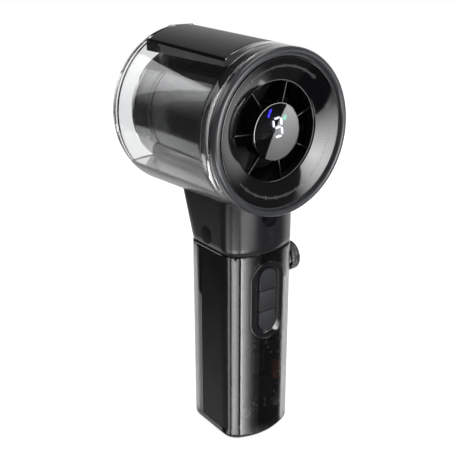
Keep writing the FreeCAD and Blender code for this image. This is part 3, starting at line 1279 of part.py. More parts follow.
SADDLE_SPOTS = four_spots(SADDLE_ACROSS, SADDLE_NEAR, SADDLE_FAR)
DECK_SPOTS = four_spots(DECK_ACROSS, -DECK_ALONG, DECK_ALONG)
BASE_SPOTS = [(-BASE_ACROSS, BASE_ALONG), (BASE_ACROSS, BASE_ALONG)]
SADDLE_SCREWS = HEAD_HEIGHT - DUCT_RADIUS - SADDLE_ROOM - SCREW_LONG
DECK_SCREWS = HANDLE_TOP - DECK_THICK


def screw_holes(spots, low):
    """Upright holes for the screws of one group, from the level of their heads."""
    return [rod(SCREW_RADIUS, (across, depth, low), SCREW_LONG, "z") for across, depth in spots]


def head_wells(spots, low, high):
    """Upright wells that the heads of one group of screws are reached through."""
    return [rod(HEAD_RADIUS, (across, depth, low), high - low, "z") for across, depth in spots]


def duct_saddle():
    """Block in the belly that the duct rests on and the neck is screwed to."""
    zone = head_block((-SADDLE_HALF, SADDLE_FRONT, -WIDE), (SADDLE_HALF, SADDLE_BACK, 0))
    inside = common(belly_space(), zone)
    duct = head_rod(DUCT_RADIUS, SADDLE_FRONT - PAST, SADDLE_BACK + PAST)
    channel = lead_channel(NECK_TOP - WIDE, HEAD_HEIGHT - CHORD)
    return keep("duct_saddle", cut(inside, duct, channel, *screw_holes(SADDLE_SPOTS, SADDLE_SCREWS)))


def neck_pocket():
    """The hollow in the neck, open to the handle."""
    low = HANDLE_TOP - DECK_THICK - PAST
    return block((-POCKET_HALF, POCKET_FRONT, low), (POCKET_HALF, POCKET_BACK, NECK_POCKET))


def neck_lamp(front, back, radius):
    """The indicator's outline: round below and straight up into the belly."""
    window = fuse(rod(radius, (0, front, LAMP_HEIGHT), back - front, "y"),
                  block((-radius, front, LAMP_HEIGHT), (radius, back, HEAD_HEIGHT - DUCT_RADIUS)))
    return cut(window, head_skin(0, BEZEL_BACK, TANK_END))


def neck_shell():
    """Neck that grows backwards from the handle up to the head."""
    low = HANDLE_TOP + NECK_SEAM
    loft = lofted([
        (low, plan(NECK_BEVEL)), (low + NECK_BEVEL, plan()), (NECK_TOP, plan(0, NECK_BACK)),
    ])
    channel = lead_channel(low, NECK_TOP)
    lamp = neck_lamp(-HALF_DEPTH - PAST, LAMP_DEPTH - HALF_DEPTH, LAMP_RADIUS)
    plugs = [side_plug(-1), side_plug(1)]
    wells = head_wells(SADDLE_SPOTS, low, SADDLE_SCREWS)
    screws = screw_holes(SADDLE_SPOTS, SADDLE_SCREWS) + screw_holes(DECK_SPOTS, DECK_SCREWS)
    return keep("neck_shell", cut(loft, head_skin(0, BEZEL_BACK, TANK_END), neck_pocket(), channel, lamp,
                                  *plugs, *wells, *screws))


def case_screws():
    """Identical screws, heads down: four into the saddle, four into the neck, two into the holder."""
    rows = ((SADDLE_SPOTS, SADDLE_SCREWS), (DECK_SPOTS, DECK_SCREWS), (BASE_SPOTS, HEAD_THICK))
    screws = []
    for spots, low in rows:
        for across, depth in spots:
            shaft = rod(SCREW_RADIUS, (across, depth, low), SCREW_LONG, "z")
            head = rod(HEAD_RADIUS, (across, depth, low - HEAD_THICK), HEAD_THICK, "z")
            screws.append(fuse(shaft, head))
    return keep("case_screws", group(screws))


def neck_gasket():
    """Thin dark seal in the groove between neck and handle."""
    solid = padded([plan(NECK_BEVEL)], HANDLE_TOP, NECK_SEAM)
    return keep("neck_gasket", cut(solid, neck_pocket(), *screw_holes(DECK_SPOTS, DECK_SCREWS)))


def side_plug(side):
    """Round disc that lies flush in the side of the neck."""
    outer = HALF_WIDTH + PLUG_PROUD
    start = -outer if side < 0 else outer - PLUG_DEPTH
    return rod(PLUG_RADIUS, (start, PLUG_ALONG, PLUG_HEIGHT), PLUG_DEPTH, "x")


def indicator_lens():
    """Glossy window sunk in the front of the neck, right under the head."""
    front = LAMP_SINK - HALF_DEPTH
    return keep("indicator_lens", neck_lamp(front, LAMP_DEPTH - HALF_DEPTH, LAMP_RADIUS))


# The handle.

def side_panel(side, high):
    """Matte panel set flush in one flank of the handle."""
    skin = padded([plan(), plan(PANEL_THICK)], PANEL_LOW, size(high) - PANEL_LOW)
    inside = HALF_WIDTH / 2
    left = -WIDE if side < 0 else inside
    right = -inside if side < 0 else WIDE
    return common(skin, block((left, PANEL_FRONT, PANEL_LOW), (right, PANEL_BACK, high)))


def handle_shell():
    """Smoked clear sleeve with openings for the keys, the knob, the panels and the port."""
    tall = HANDLE_TOP - HANDLE_FOOT
    body = padded([plan(), plan(SHELL_WALL)], HANDLE_FOOT, tall)
    doc.recompute()
    pad = body.Tip
    edges = []
    for number, edge in enumerate(pad.Shape.Edges):
        box = edge.BoundBox
        low = box.ZMax < (HANDLE_FOOT.value + HANDLE_TOP.value) / 2
        if low and edge_is_outer(edge):
            edges.append(f"Edge{number + 1}")
    fillet = body.newObject("PartDesign::Fillet", "FootRound")
    fillet.Base = (pad, edges)
    fillet.Radius = SHELL_ROUND.value
    fillet.setExpression("Radius", SHELL_ROUND.text)
    window = padded([stadium(WELL_HALF, WELL_TALL, KEYPAD_HEIGHT)],
                    HALF_DEPTH - WELL_CUT, WELL_CUT + PAST, "XZ_Plane")
    knob = rod(KNOB_COLLAR, (HALF_WIDTH - SHELL_WALL * 2, KNOB_ALONG, KNOB_HEIGHT), SHELL_WALL * 3, "x")
    port = port_outline(PORT_HALF, PORT_TALL, HALF_DEPTH - PORT_DEEP, PORT_DEEP + PAST)
    return keep("handle_shell", cut(body, window, knob, port, side_panel(-1, PANEL_TOP),
                                    side_panel(1, PANEL_SHORT)))


def edge_is_outer(edge):
    """Tell whether a low edge of the shell belongs to its outside."""
    middle = edge.valueAt((edge.FirstParameter + edge.LastParameter) / 2)
    inset = SHELL_WALL.value / 2
    half = HALF_WIDTH.value - inset
    deep = HALF_DEPTH.value - inset
    corner = CORNER.value - inset
    bow = BOW.value - inset
    flat = abs(middle.x) > half
    bowed = math.hypot(middle.x, abs(middle.y) + bow - deep) > bow
    across = half - corner
    slope = math.sqrt((bow - corner) ** 2 - across ** 2)
    centre = deep - bow + slope
    rounded = abs(middle.x) > across and abs(middle.y) > centre and (
        math.hypot(abs(middle.x) - across, abs(middle.y) - centre) > corner)
    return flat or bowed or rounded


def handle_deck():
    """Plate inside the top of the handle that the neck is screwed to."""
    solid = padded([plan(SHELL_WALL)], HANDLE_TOP - DECK_THICK, DECK_THICK)
    return keep("handle_deck", cut(solid, neck_pocket(), *screw_holes(DECK_SPOTS, DECK_SCREWS)))


def base_cap():
    """Flat foot of the handle with a plug that closes the shell."""
    foot = padded([plan(SHELL_ROUND)], 0, HANDLE_FOOT)
    plug = padded([plan(SHELL_WALL), plan(SHELL_WALL + BASE_RIM)], HANDLE_FOOT, BASE_PLUG)
    bosses = [rod(HEAD_RADIUS + BOSS_WALL, (across, depth, HANDLE_FOOT), BASE_PLUG, "z")
              for across, depth in BASE_SPOTS]
    screws = screw_holes(BASE_SPOTS, HEAD_THICK) + head_wells(BASE_SPOTS, size(-PAST), HEAD_THICK)
    return keep("base_cap", cut(fuse(foot, plug, *bosses), *screws))


# The keypad and the knob.

def key_bezel():
    """Bevelled ring that lines the keypad's well."""
    inner = KEY_HALF + KEY_GAP
    back = HALF_DEPTH - RING_DEEP
    outer = padded([stadium(WELL_HALF, WELL_TALL, KEYPAD_HEIGHT),
                    stadium(inner, KEYS_TALL + KEY_GAP, KEYPAD_HEIGHT)], back, RING_DEEP + PAST, "XZ_Plane")
    body = common(outer, padded([plan()], KEYPAD_HEIGHT - WIDE / 2, WIDE))
    step = KEY_HALF + KEY_GAP + WELL_STEP
    tall = KEYS_TALL + KEY_GAP + WELL_STEP
    well = lofted([
        (HALF_DEPTH - WELL_DEEP, stadium(step, tall, KEYPAD_HEIGHT)),
        (HALF_DEPTH + PAST, stadium(WELL_HALF + PAST, WELL_TALL + PAST, KEYPAD_HEIGHT)),
    ], "XZ_Plane")
    return keep("key_bezel", cut(body, well))


def key_cap(name, level):
    """One of the three keys, sliced from one stadium outline."""
    outline = stadium(KEY_HALF, KEYS_TALL, KEYPAD_HEIGHT)
    whole = padded([outline], -KEY_FRONT - KEY_THICK, KEY_THICK, "XZ_Plane")
    third = KEYS_TALL / 3
    low = KEYPAD_HEIGHT + third * (2 * level - 1) + KEY_GAP / 2
    high = KEYPAD_HEIGHT + third * (2 * level + 1) - KEY_GAP / 2
    if level < 0:
        low = low - PAST
    if level > 0:
        high = high + PAST
    zone = block((-WELL_HALF, KEY_FRONT - PAST, low), (WELL_HALF, KEY_FRONT + KEY_THICK + PAST, high))
    return keep(name, common(whole, zone))


def key_switches():
    """Push switches on the main board, one behind each key."""
    front = KEY_FRONT + KEY_THICK + KEY_TRAVEL + KEY_MARGIN
    body_front = front + PLUNGER
    switches = []
    for level in (-1, 0, 1):
        height = KEYPAD_HEIGHT + KEYS_TALL / 3 * (2 * level)
        case = block((-SWITCH_HALF, body_front, height - SWITCH_HALF),
                     (SWITCH_HALF, BOARD_FRONT, height + SWITCH_HALF))
        plunger = rod(PLUNGER_RADIUS, (0, front, height), body_front - front, "y")
        switches.append(fuse(case, plunger))
    return keep("key_switches", group(switches))


def knob_turned(corners):
    """A solid turned round the knob's axis; its outline is (distance from the middle, radius)."""
    return turned(corners, "XZ_Plane", "H_Axis", (0, KNOB_ALONG, KNOB_HEIGHT))


def knob_cap():
    """Knob with a bevelled face."""
    low = HALF_WIDTH + KNOB_ROOT
    high = low + KNOB_THICK
    return keep("knob_cap", knob_turned([
        Corner(low, KNOB_SHAFT), Corner(low, KNOB_RADIUS - KNOB_EDGE), Corner(low + KNOB_EDGE, KNOB_RADIUS),
        Corner(high - KNOB_BEVEL, KNOB_RADIUS), Corner(high, KNOB_RADIUS - KNOB_BEVEL), Corner(high, 0),
        Corner(high - KNOB_FACE, 0), Corner(high - KNOB_FACE, KNOB_SHAFT),
    ]))


def knob_shaft():
    """Shaft between the knob and its rotary switch."""
    low = HALF_WIDTH - SHELL_WALL - ENCODER_THICK + SHAFT_FLOOR
    high = HALF_WIDTH + KNOB_ROOT + KNOB_THICK - KNOB_FACE
    return keep("knob_shaft", rod(KNOB_SHAFT, (low, KNOB_ALONG, KNOB_HEIGHT), high - low, "x"))


def knob_collar():
    """Bright collar in the flank that guides the knob's shaft."""
    low = HALF_WIDTH - SHELL_WALL
    length = SHELL_WALL + KNOB_ROOT - COLLAR_GAP
    spot = (low, KNOB_ALONG, KNOB_HEIGHT)
    return keep("knob_collar", ring(KNOB_COLLAR, KNOB_SHAFT + PIN_FIT, spot, length, "x"))


def knob_encoder():
    """Rotary switch behind the flank."""
    high = HALF_WIDTH - SHELL_WALL
    low = high - ENCODER_THICK
    case = block((low, KNOB_ALONG - ENCODER_HALF, KNOB_HEIGHT - ENCODER_HALF),
                 (high, KNOB_ALONG + ENCODER_HALF, KNOB_HEIGHT + ENCODER_HALF))
    inside = padded([plan(SHELL_WALL)], HANDLE_FOOT, HANDLE_TOP - HANDLE_FOOT)
    bore = rod(KNOB_SHAFT + PIN_FIT, (low + ENCODER_FLOOR, KNOB_ALONG, KNOB_HEIGHT), ENCODER_THICK, "x")
    return keep("knob_encoder", cut(common(case, inside), bore))


# Battery, boards and port.

def battery_cell():
    """One large round cell with its raised pole on top."""
    high = CELL_LOW + CELL_LENGTH
    return keep("battery_cell", turned([
        Corner(0, CELL_LOW), Corner(CELL_RADIUS - CELL_ROUND, CELL_LOW),
        Corner(CELL_RADIUS, CELL_LOW + CELL_ROUND), Corner(CELL_RADIUS, high - CELL_ROUND),
        Corner(CELL_RADIUS - CELL_ROUND, high), Corner(CELL_NUB, high),
        Corner(CELL_NUB, high + NUB_TALL), Corner(0, high + NUB_TALL),
    ], "XZ_Plane", "V_Axis", (0, CELL_ALONG, 0)))


def battery_holder():
    """Plastic carrier between the cell, the board and the shell."""
    half = CELL_RADIUS + HOLDER_WALL
    front = BOARD_FRONT + BOARD_THICK
    low = BASE_PLUG + HANDLE_FOOT
    high = CELL_LOW + CELL_LENGTH + NUB_TALL
    back = HALF_DEPTH - SHELL_WALL
    whole = block((-half, front, low), (half, back, high))
    inside = padded([plan(SHELL_WALL)], HANDLE_FOOT, HANDLE_TOP - HANDLE_FOOT)
    bore = rod(CELL_RADIUS, (0, CELL_ALONG, CELL_LOW - TAB_THICK), high - CELL_LOW + PAST, "z")
    front_slot = block((-HOLDER_SLOT, front - PAST, CELL_LOW + HOLDER_SLOT),
                       (HOLDER_SLOT, CELL_ALONG, CELL_LOW + CELL_LENGTH - HOLDER_SLOT))
    room = block((-HOLDER_SLOT, front - PAST, low - PAST),
                 (HOLDER_SLOT, back + PAST, CELL_LOW - TAB_THICK - HOLDER_WALL * 2))
    screws = screw_holes(BASE_SPOTS, HEAD_THICK)
    return keep("battery_holder", cut(common(whole, inside), bore, front_slot, room, *screws))


def battery_tabs():
    """Metal tabs at both ends of the cell."""
    high = CELL_LOW + CELL_LENGTH + NUB_TALL
    low_tab = rod(CELL_RADIUS - TAB_INSET, (0, CELL_ALONG, CELL_LOW - TAB_THICK), TAB_THICK, "z")
    high_tab = block((-TAB_HALF, BOARD_FRONT + BOARD_THICK, high),
                     (TAB_HALF, CELL_ALONG + TAB_HALF, high + TAB_THICK))
    return keep("battery_tabs", group([low_tab, high_tab]))


def main_board():
    """Long board right behind the handle's clear front."""
    back = BOARD_FRONT + BOARD_THICK
    return keep("main_board", block((-BOARD_HALF, BOARD_FRONT, BOARD_LOW), (BOARD_HALF, back, BOARD_TOP)))


def on_board(across, height, wide, high, tall):
    """A box-shaped part soldered to the front of the main board, with half its width and height."""
    return block((across - wide, BOARD_FRONT - tall, height - high),
                 (across + wide, BOARD_FRONT, height + high))


def board_chips():
    """Integrated circuits and the square module on the main board."""
    return keep("board_chips", group([
        on_board(MODULE_ACROSS, MODULE_HEIGHT, MODULE_WIDE, MODULE_HIGH, MODULE_TALL),
        on_board(DRIVER_ACROSS, DRIVER_HEIGHT, DRIVER_WIDE, DRIVER_HIGH, DRIVER_TALL),
        on_board(REGULATOR_ACROSS, REGULATOR_HEIGHT, REGULATOR_WIDE, REGULATOR_HIGH, CHIP_TALL),
        on_board(SENSOR_ACROSS, SENSOR_HEIGHT, SENSOR_WIDE, SENSOR_HIGH, CHIP_TALL),
    ]))


def board_inductors():
    """Two round coils beside the circuits."""
    front = BOARD_FRONT - COIL_TALL
    coils = [rod(COIL_RADIUS, (COIL_ACROSS, front, height), COIL_TALL, "y")
             for height in (COIL_UPPER, COIL_LOWER)]
    return keep("board_inductors", group(coils))


def board_capacitors():
    """Upright capacitors and small parts on the main board."""
    front = BOARD_FRONT - CAN_TALL
    cans = [rod(CAN_RADIUS, (across, front, CAN_HEIGHT), CAN_TALL, "y") for across in (CAN_LEFT, CAN_RIGHT)]
    small = []
    for column in range(3):
        for height in (SMALL_LOW, SMALL_MIDDLE, SMALL_TOP):
            across = SMALL_LEFT + SMALL_STEP * column
            small.append(on_board(across, height, SMALL_WIDE, SMALL_HIGH, SMALL_TALL))
    return keep("board_capacitors", group(cans + small))


def port_outline(half_width, tall, start, length):
    """A flat-lying stadium that runs backwards, round the port's centre."""
    half_width = size(half_width)
    radius = size(tall) / 2
    middle = PORT_LOW + PORT_TALL / 2
    reach = half_width - radius
    bar = block((-reach, start, middle - radius), (reach, size(start) + size(length), middle + radius))
    ends = [rod(radius, (side, start, middle), length, "y") for side in (-reach, reach)]
    return fuse(bar, *ends)


def charge_port():
    """Sheet-metal charging socket in the back of the handle, near its foot."""
    start = HALF_DEPTH - PORT_DEEP
    outer = port_outline(PORT_HALF, PORT_TALL, start, PORT_DEEP - PORT_SINK)
    inner = port_outline(PORT_HALF - PORT_WALL, PORT_TALL - PORT_WALL * 2, start + PORT_FLOOR, PORT_DEEP)
    middle = PORT_LOW + PORT_TALL / 2
    tongue = block((-TONGUE_HALF, start + TONGUE_ROOT, middle - TONGUE_THICK / 2),
                   (TONGUE_HALF, HALF_DEPTH - TONGUE_SINK, middle + TONGUE_THICK / 2))
    return keep("charge_port", fuse(cut(outer, inner), tongue))


def port_board():
    """Small board that carries the charging socket and meets the main board."""
    return keep("port_board", block((-PORT_BOARD_HALF, BOARD_FRONT + BOARD_THICK, PORT_LOW - PORT_BOARD),
                                    (PORT_BOARD_HALF, HALF_DEPTH - SHELL_WALL - PORT_SPACE, PORT_LOW)))


def build_parts():
    """Make every sub-part, from the front of the head to the foot of the handle."""
    bezel_ring()
    intake_cone()
    collar_ring()
    intake_grille()
    display_housing()
    display_board()
    display_segments()
    display_lens()
    tank_shell()
    tank_end_cap()
    filler_frame()
    lid_cover()
    lid_gasket()
    lid_hinge_pin()
    duct_tube()
    impeller()
    impeller_nut()
    motor_shaft()
    motor_magnet()
    motor_can()
    motor_bearings()
    motor_stator()
    motor_mount()
    outlet_grille()
    outlet_ring()
    mist_housing()
    mist_disc()
    mist_seal()
    mist_wick()
    wick_tube()
    motor_leads()
    belly_cover()
    duct_saddle()
    neck_shell()
    case_screws()
    neck_gasket()
    keep("neck_plugs", group([side_plug(-1), side_plug(1)]))
    indicator_lens()
    handle_shell()
    keep("side_panels", group([side_panel(-1, PANEL_TOP), side_panel(1, PANEL_SHORT)]))
    handle_deck()
    base_cap()
    key_bezel()
    key_cap("key_top", 1)
    key_cap("key_middle", 0)
    key_cap("key_bottom", -1)
    key_switches()
    knob_cap()
    knob_shaft()
    knob_collar()
    knob_encoder()
    battery_cell()
    battery_holder()
    battery_tabs()
    main_board()
    board_chips()
    board_inductors()
    board_capacitors()
    charge_port()
    port_board()


def write_parts():
    """Check every object, then write one file for each sub-part."""
    faults = []
    for thing in doc.Objects:
        if any(word in ("Invalid", "Error") for word in thing.State):
            faults.append(f"{thing.Name} {thing.Label} has the state {thing.State}")
    for thing in kept:
        if thing.Shape.isNull() or not thing.Shape.isValid():
            faults.append(f"{thing.Label} has no sound shape")
    if faults:
        raise RuntimeError(", ".join(faults))
    os.makedirs("parts", exist_ok=True)
    for thing in kept:
        thing.Shape.exportStep(f"parts/{thing.Label}.step")
        box = thing.Shape.BoundBox
        print(f"{thing.Label}: {len(thing.Shape.Solids)} solids, {thing.Shape.Volume:.0f} mm3, "
              f"z {box.ZMin:.1f} to {box.ZMax:.1f}")


build_parts()
doc.recompute()
write_parts()
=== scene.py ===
import json
import math

import bmesh
import bpy
from mathutils import Matrix, Vector


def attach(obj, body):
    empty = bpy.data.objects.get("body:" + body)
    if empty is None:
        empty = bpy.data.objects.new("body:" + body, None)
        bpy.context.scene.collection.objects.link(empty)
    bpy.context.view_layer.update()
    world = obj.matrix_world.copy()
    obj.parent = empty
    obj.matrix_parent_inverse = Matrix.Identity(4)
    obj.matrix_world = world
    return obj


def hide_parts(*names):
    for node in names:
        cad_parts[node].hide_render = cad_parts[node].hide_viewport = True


# The looks of a hand-held spray blower. Sizes are millimetres until a mesh is made. The head's
# axis runs along Y at height HEAD, the display faces -Y and the knob is on the +X side.

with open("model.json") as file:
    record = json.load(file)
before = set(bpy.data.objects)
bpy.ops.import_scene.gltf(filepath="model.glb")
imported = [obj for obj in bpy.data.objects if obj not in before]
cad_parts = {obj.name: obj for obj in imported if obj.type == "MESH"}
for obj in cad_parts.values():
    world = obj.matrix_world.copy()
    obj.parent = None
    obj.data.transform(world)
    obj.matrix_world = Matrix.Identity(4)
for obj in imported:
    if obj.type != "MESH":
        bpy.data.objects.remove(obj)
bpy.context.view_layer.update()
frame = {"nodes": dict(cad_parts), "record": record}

MM = 0.001
HEAD = 144.0
ROUND = 192

BEZEL_FRONT, BEZEL_BACK, COLLAR_BACK = -28.1, -25.0, -18.8
TANK_SEAM, TANK_END = 41.7, 46.3
BEZEL_RADIUS, COLLAR_RADIUS, TANK_RADIUS = 33.9, 34.2, 36.3
GROOVE_OUT, CONE_EDGE = 31.2, 30.3
SLEEVE_IN, SLEEVE_OUT = 29.4, 30.6
CONE_LIP, THROAT_FRONT, THROAT_RADIUS, THROAT_BACK = -27.1, -22.6, 20.8, -14.0
POD_RADIUS, POD_WALL, POD_BACK = 11.8, 0.8, -15.0
LENS_FRONT, LENS_THICK = -23.0, 0.9
SPOKES, SPOKE_WIDTH, SPOKE_DEPTH, SPOKE_TURN = 7, 0.5, 2.0, 10.0
TANK_WALL, TANK_CORE_WALL, DUCT_GAP = 1.8, 1.2, 0.4
DUCT_RADIUS, DUCT_WALL, DUCT_END = 25.0, 2.0, 41.2
CHORD, FLOOR, END_WALL = 22.3, 1.5, 2.0
LID_HALF, LID_FRONT, LID_BACK, LID_THICK, LID_GAP = 17.6, -12.8, 43.3, 1.6, 0.3
FRAME_LOW = 25.5
HINGE_ALONG, HINGE_UP, KNUCKLE, KNUCKLE_HALF = 44.9, 34.9, 1.3, 2.9
HALF_WIDTH, HALF_DEPTH, CORNER, BOW = 18.0, 20.0, 9.0, 30.0
HANDLE_TOP, HANDLE_FOOT, SHELL_WALL = 91.0, 1.0, 2.0
NECK_LOW, NECK_BEVEL, NECK_TOP, NECK_BACK = 92.0, 0.8, 117.0, 28.5
KEYPAD, WELL_HALF, WELL_TALL, KEY_HALF, KEYS_TALL = 68.6, 9.0, 18.7, 4.5, 14.9
KEY_GAP, KEY_FRONT, KEY_THICK, WELL_DEEP, WELL_STEP = 0.25, -19.2, 2.4, 1.9, 1.1
KNOB_RADIUS, KNOB_ALONG, KNOB_HEIGHT, KNOB_LOW, KNOB_HIGH = 6.9, -7.2, 80.6, 19.2, 23.4
PANEL_FRONT, PANEL_BACK, PANEL_LOW, PANEL_TOP, PANEL_SHORT = -12.9, 5.6, 4.6, 90.5, 71.0
PANEL_THICK = 0.8
PLUG_RADIUS, PLUG_ALONG, PLUG_HEIGHT, PLUG_SEAT, PLUG_OUT = 4.0, 1.4, 96.9, 16.75, 18.1
LAMP_RADIUS, LAMP_HEIGHT, LAMP_BACK = 4.5, 107.6, -18.2
KNOB_HOLE, PORT_HEIGHT, PORT_TALL, PORT_WIDE = 5.42, 10.6, 1.6, 4.5
BOARD_FRONT = -13.5
COIL_ACROSS, COIL_HEIGHTS, COIL_RADIUS, COIL_HOLE = 8.3, (31.8, 26.9), 2.3, 0.9

# The studio, in radiances where 1 is white: how much the floor glows by itself, the light that matt
# surfaces get from the room, and where the mirrored backdrop lies and fades (cosines), and to what.
FLOOR_GREY, FLOOR_LIFT, PLAIN_LIGHT, BACKDROP_DARK = 0.72, 0.86, 0.25, 0.05
BACKDROP_MIDDLE, BACKDROP_EDGE = (52, -10), (0.50, 0.78)
FLOOR_RADIUS, FLOOR_DROP, FLOOR_SIDES = 900, 0.02, 72
LAMPS_AWAY = 0.9

# The photographed view: the frame and the focal length in pixels, and where the camera stands.
FRAME_PIXELS, FOCAL_PIXELS, FILM_WIDTH = 463, 760, 36
CAMERA_PLACE, CAMERA_HEADING, CAMERA_DIP = (-191.95, -249.05, 215.26), 36.83, 20.98


# Meshes.

def mesh_object(name, points, faces):
    """A mesh object from points in millimetres."""
    mesh = bpy.data.meshes.new(name)
    mesh.from_pydata([Vector(point) * MM for point in points], [], faces)
    piece = bpy.data.objects.new(name, mesh)
    bpy.context.scene.collection.objects.link(piece)
    return piece


def tidy(piece, angle=28):
    """Weld, point the faces outwards, and shade smooth up to an angle."""
    work = bmesh.new()
    work.from_mesh(piece.data)
    bmesh.ops.remove_doubles(work, verts=work.verts, dist=0.0005 * MM)
    bmesh.ops.dissolve_degenerate(work, edges=work.edges, dist=0.0005 * MM)
    bmesh.ops.recalc_face_normals(work, faces=work.faces)
    work.to_mesh(piece.data)
    work.free()
    piece.data.shade_smooth()
    piece.data.set_sharp_from_angle(angle=math.radians(angle))
    return piece


def skin(name, loops, closed=False):
    """A closed mesh through loops that have the same number of points."""
    size = len(loops[0])
    points = [point for loop in loops for point in loop]
    faces = []
    rows = len(loops)
    for row in range(rows if closed else rows - 1):
        low = row * size
        high = ((row + 1) % rows) * size
        for index in range(size):
            after = (index + 1) % size
            faces.append((low + index, low + after, high + after, high + index))
    if not closed:
        faces.append(tuple(range(size)))
        faces.append(tuple(reversed(range((rows - 1) * size, rows * size))))
    return tidy(mesh_object(name, points, faces))


def arc(centre, radius, start, stop, steps):
    """Points on an arc between two angles in degrees."""
    turns = [math.radians(start + (stop - start) * step / steps) for step in range(steps + 1)]
    return [(centre[0] + radius * math.cos(turn), centre[1] + radius * math.sin(turn)) for turn in turns]


def rounded(corners, steps=6):
    """A closed outline whose corners (across, up, radius) are rounded where they have a radius."""
    outline = []
    count = len(corners)
    for index, corner in enumerate(corners):
        here = Vector(corner[:2])
        if len(corner) < 3:
            outline.append(tuple(here))
            continue
        before = (Vector(corners[index - 1][:2]) - here).normalized()
        after = (Vector(corners[(index + 1) % count][:2]) - here).normalized()
        half = before.angle(after) / 2
        reach = corner[2] / math.tan(half)
        centre = here + (before + after).normalized() * corner[2] / math.sin(half)
        first = here + before * reach - centre
        last = here + after * reach - centre
        for step in range(steps + 1):
            share = step / steps
            blend = (first * (1 - share) + last * share).normalized() * corner[2]
            outline.append(tuple(centre + blend))
    return outline


def turned(name, profile, axis="y", spot=(0, 0, HEAD), steps=ROUND):
    """A solid of revolution from an outline of (distance along the axis, radius)."""
    loops = []
    for step in range(steps):
        turn = 2 * math.pi * step / steps
        sine, cosine = math.sin(turn), math.cos(turn)
        loop = []
        for reach, radius in profile:
            if axis == "y":
                loop.append((spot[0] + radius * sine, spot[1] + reach, spot[2] + radius * cosine))
            elif axis == "x":
                loop.append((spot[0] + reach, spot[1] + radius * sine, spot[2] + radius * cosine))
            else:
                loop.append((spot[0] + radius * cosine, spot[1] + radius * sine, spot[2] + reach))
        loops.append(loop)
    return skin(name, loops, closed=True)


def rod(name, low, high, radius, axis="y", spot=(0, 0, HEAD), steps=ROUND):
    """A round bar between two places along its axis."""
    return turned(name, [(low, 0), (low, radius), (high, radius), (high, 0)], axis, spot, steps)


def box(name, low, high):
    """A block between two corners."""
    xs, ys, zs = zip(low, high)
    lower = [(xs[0], ys[0], zs[0]), (xs[1], ys[0], zs[0]), (xs[1], ys[1], zs[0]), (xs[0], ys[1], zs[0])]
    upper = [(x, y, zs[1]) for x, y, z in lower]
    return skin(name, [lower, upper])


def settle(piece):
    """Apply a piece's modifiers to its mesh."""
    depsgraph = bpy.context.evaluated_depsgraph_get()
    mesh = bpy.data.meshes.new_from_object(piece.evaluated_get(depsgraph))
    piece.modifiers.clear()
    piece.data = mesh
    return piece


def carve(piece, *tools, operation="DIFFERENCE"):
    """Cut tools out of a piece, or keep only what it shares with them."""
    for tool in tools:
        modifier = piece.modifiers.new("Carve", "BOOLEAN")
        modifier.operation = operation
        modifier.solver = "MANIFOLD"
        modifier.object = tool
        settle(piece)
        bpy.data.objects.remove(tool)
    return tidy(piece)


def soften(piece, width, segments=3, angle=35):
    """Round the sharp edges of a piece."""
    modifier = piece.modifiers.new("Soften", "BEVEL")
    modifier.width = width * MM
    modifier.segments = segments
    modifier.limit_method = "ANGLE"
    modifier.angle_limit = math.radians(angle)
    modifier.use_clamp_overlap = True
    modifier.miter_outer = "MITER_ARC"
    return tidy(settle(piece), 40)


def copied(name, node, angle=28):
    """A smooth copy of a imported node's mesh, ready for finer edges."""
    piece = bpy.data.objects.new(name, frame["nodes"][node].data.copy())
    bpy.context.scene.collection.objects.link(piece)
    piece.data.materials.clear()
    tidy(piece, angle)
    work = bmesh.new()
    work.from_mesh(piece.data)
    bmesh.ops.dissolve_limit(work, angle_limit=math.radians(0.4), verts=work.verts, edges=work.edges)
    work.to_mesh(piece.data)
    work.free()
    return tidy(piece, angle)


def joined(name, pieces):
    """Several closed meshes as one object."""
    work = bmesh.new()
    for piece in pieces:
        work.from_mesh(piece.data)
    mesh = bpy.data.meshes.new(name)
    work.to_mesh(mesh)
    work.free()
    for piece in pieces:
        bpy.data.objects.remove(piece)
    result = bpy.data.objects.new(name, mesh)
    bpy.context.scene.collection.objects.link(result)
    return tidy(result)


# Outlines of the handle and the keypad.

def plan(inset=0.0, back=HALF_DEPTH, fine=14):
    """The handle's plan: flat flanks, round corners and a bowed front and back."""
    half, corner, bow = HALF_WIDTH - inset, CORNER - inset, BOW - inset
    front, back = HALF_DEPTH - inset, back - inset
    across = half - corner
    slope = math.sqrt((bow - corner) ** 2 - across ** 2)
    lean = math.degrees(math.atan2(slope, across))
    near, far = bow - front - slope, back - bow + slope
    outline = arc((-across, near), corner, 180, 180 + lean, fine)
    outline += arc((0, bow - front), bow, 180 + lean, 360 - lean, fine * 2)[1:-1]
    outline += arc((across, near), corner, 360 - lean, 360, fine)
    for step in range(1, fine):
        outline.append((half, near + (far - near) * step / fine))
    outline += arc((across, far), corner, 0, lean, fine)
    outline += arc((0, back - bow), bow, lean, 180 - lean, fine * 2)[1:-1]
    outline += arc((-across, far), corner, 180 - lean, 180, fine)
    for step in range(1, fine):
        outline.append((-half, far + (near - far) * step / fine))
    return outline


def at_height(outline, height):
    """An outline in the plan as points at one height."""
    return [(x, y, height) for x, y in outline]


def front_face(across):
    """Where the handle's bowed front lies, at a distance from its middle line."""
    return BOW - HALF_DEPTH - math.sqrt(BOW ** 2 - across ** 2)


def stadium(half_width, half_height, steps=24):
    """Points of an upright outline with round ends, each with its outward direction."""
    reach = half_height - half_width
    points = []
    for centre, start in ((reach, 0), (-reach, 180)):
        for step in range(steps + 1):
            turn = math.radians(start + 180 * step / steps)
            out = (math.cos(turn), math.sin(turn))
            points.append((half_width * out[0], centre + half_width * out[1], out))
    return points


def flared(along, below=0.0):
    """The radius of the tank's outside at a place along the head."""
    slope = (TANK_RADIUS - COLLAR_RADIUS) / (TANK_END - COLLAR_BACK)
    return COLLAR_RADIUS + (along - COLLAR_BACK) * slope - below


# Materials. Every one varies a little in colour and gloss, at the scale of its surface.

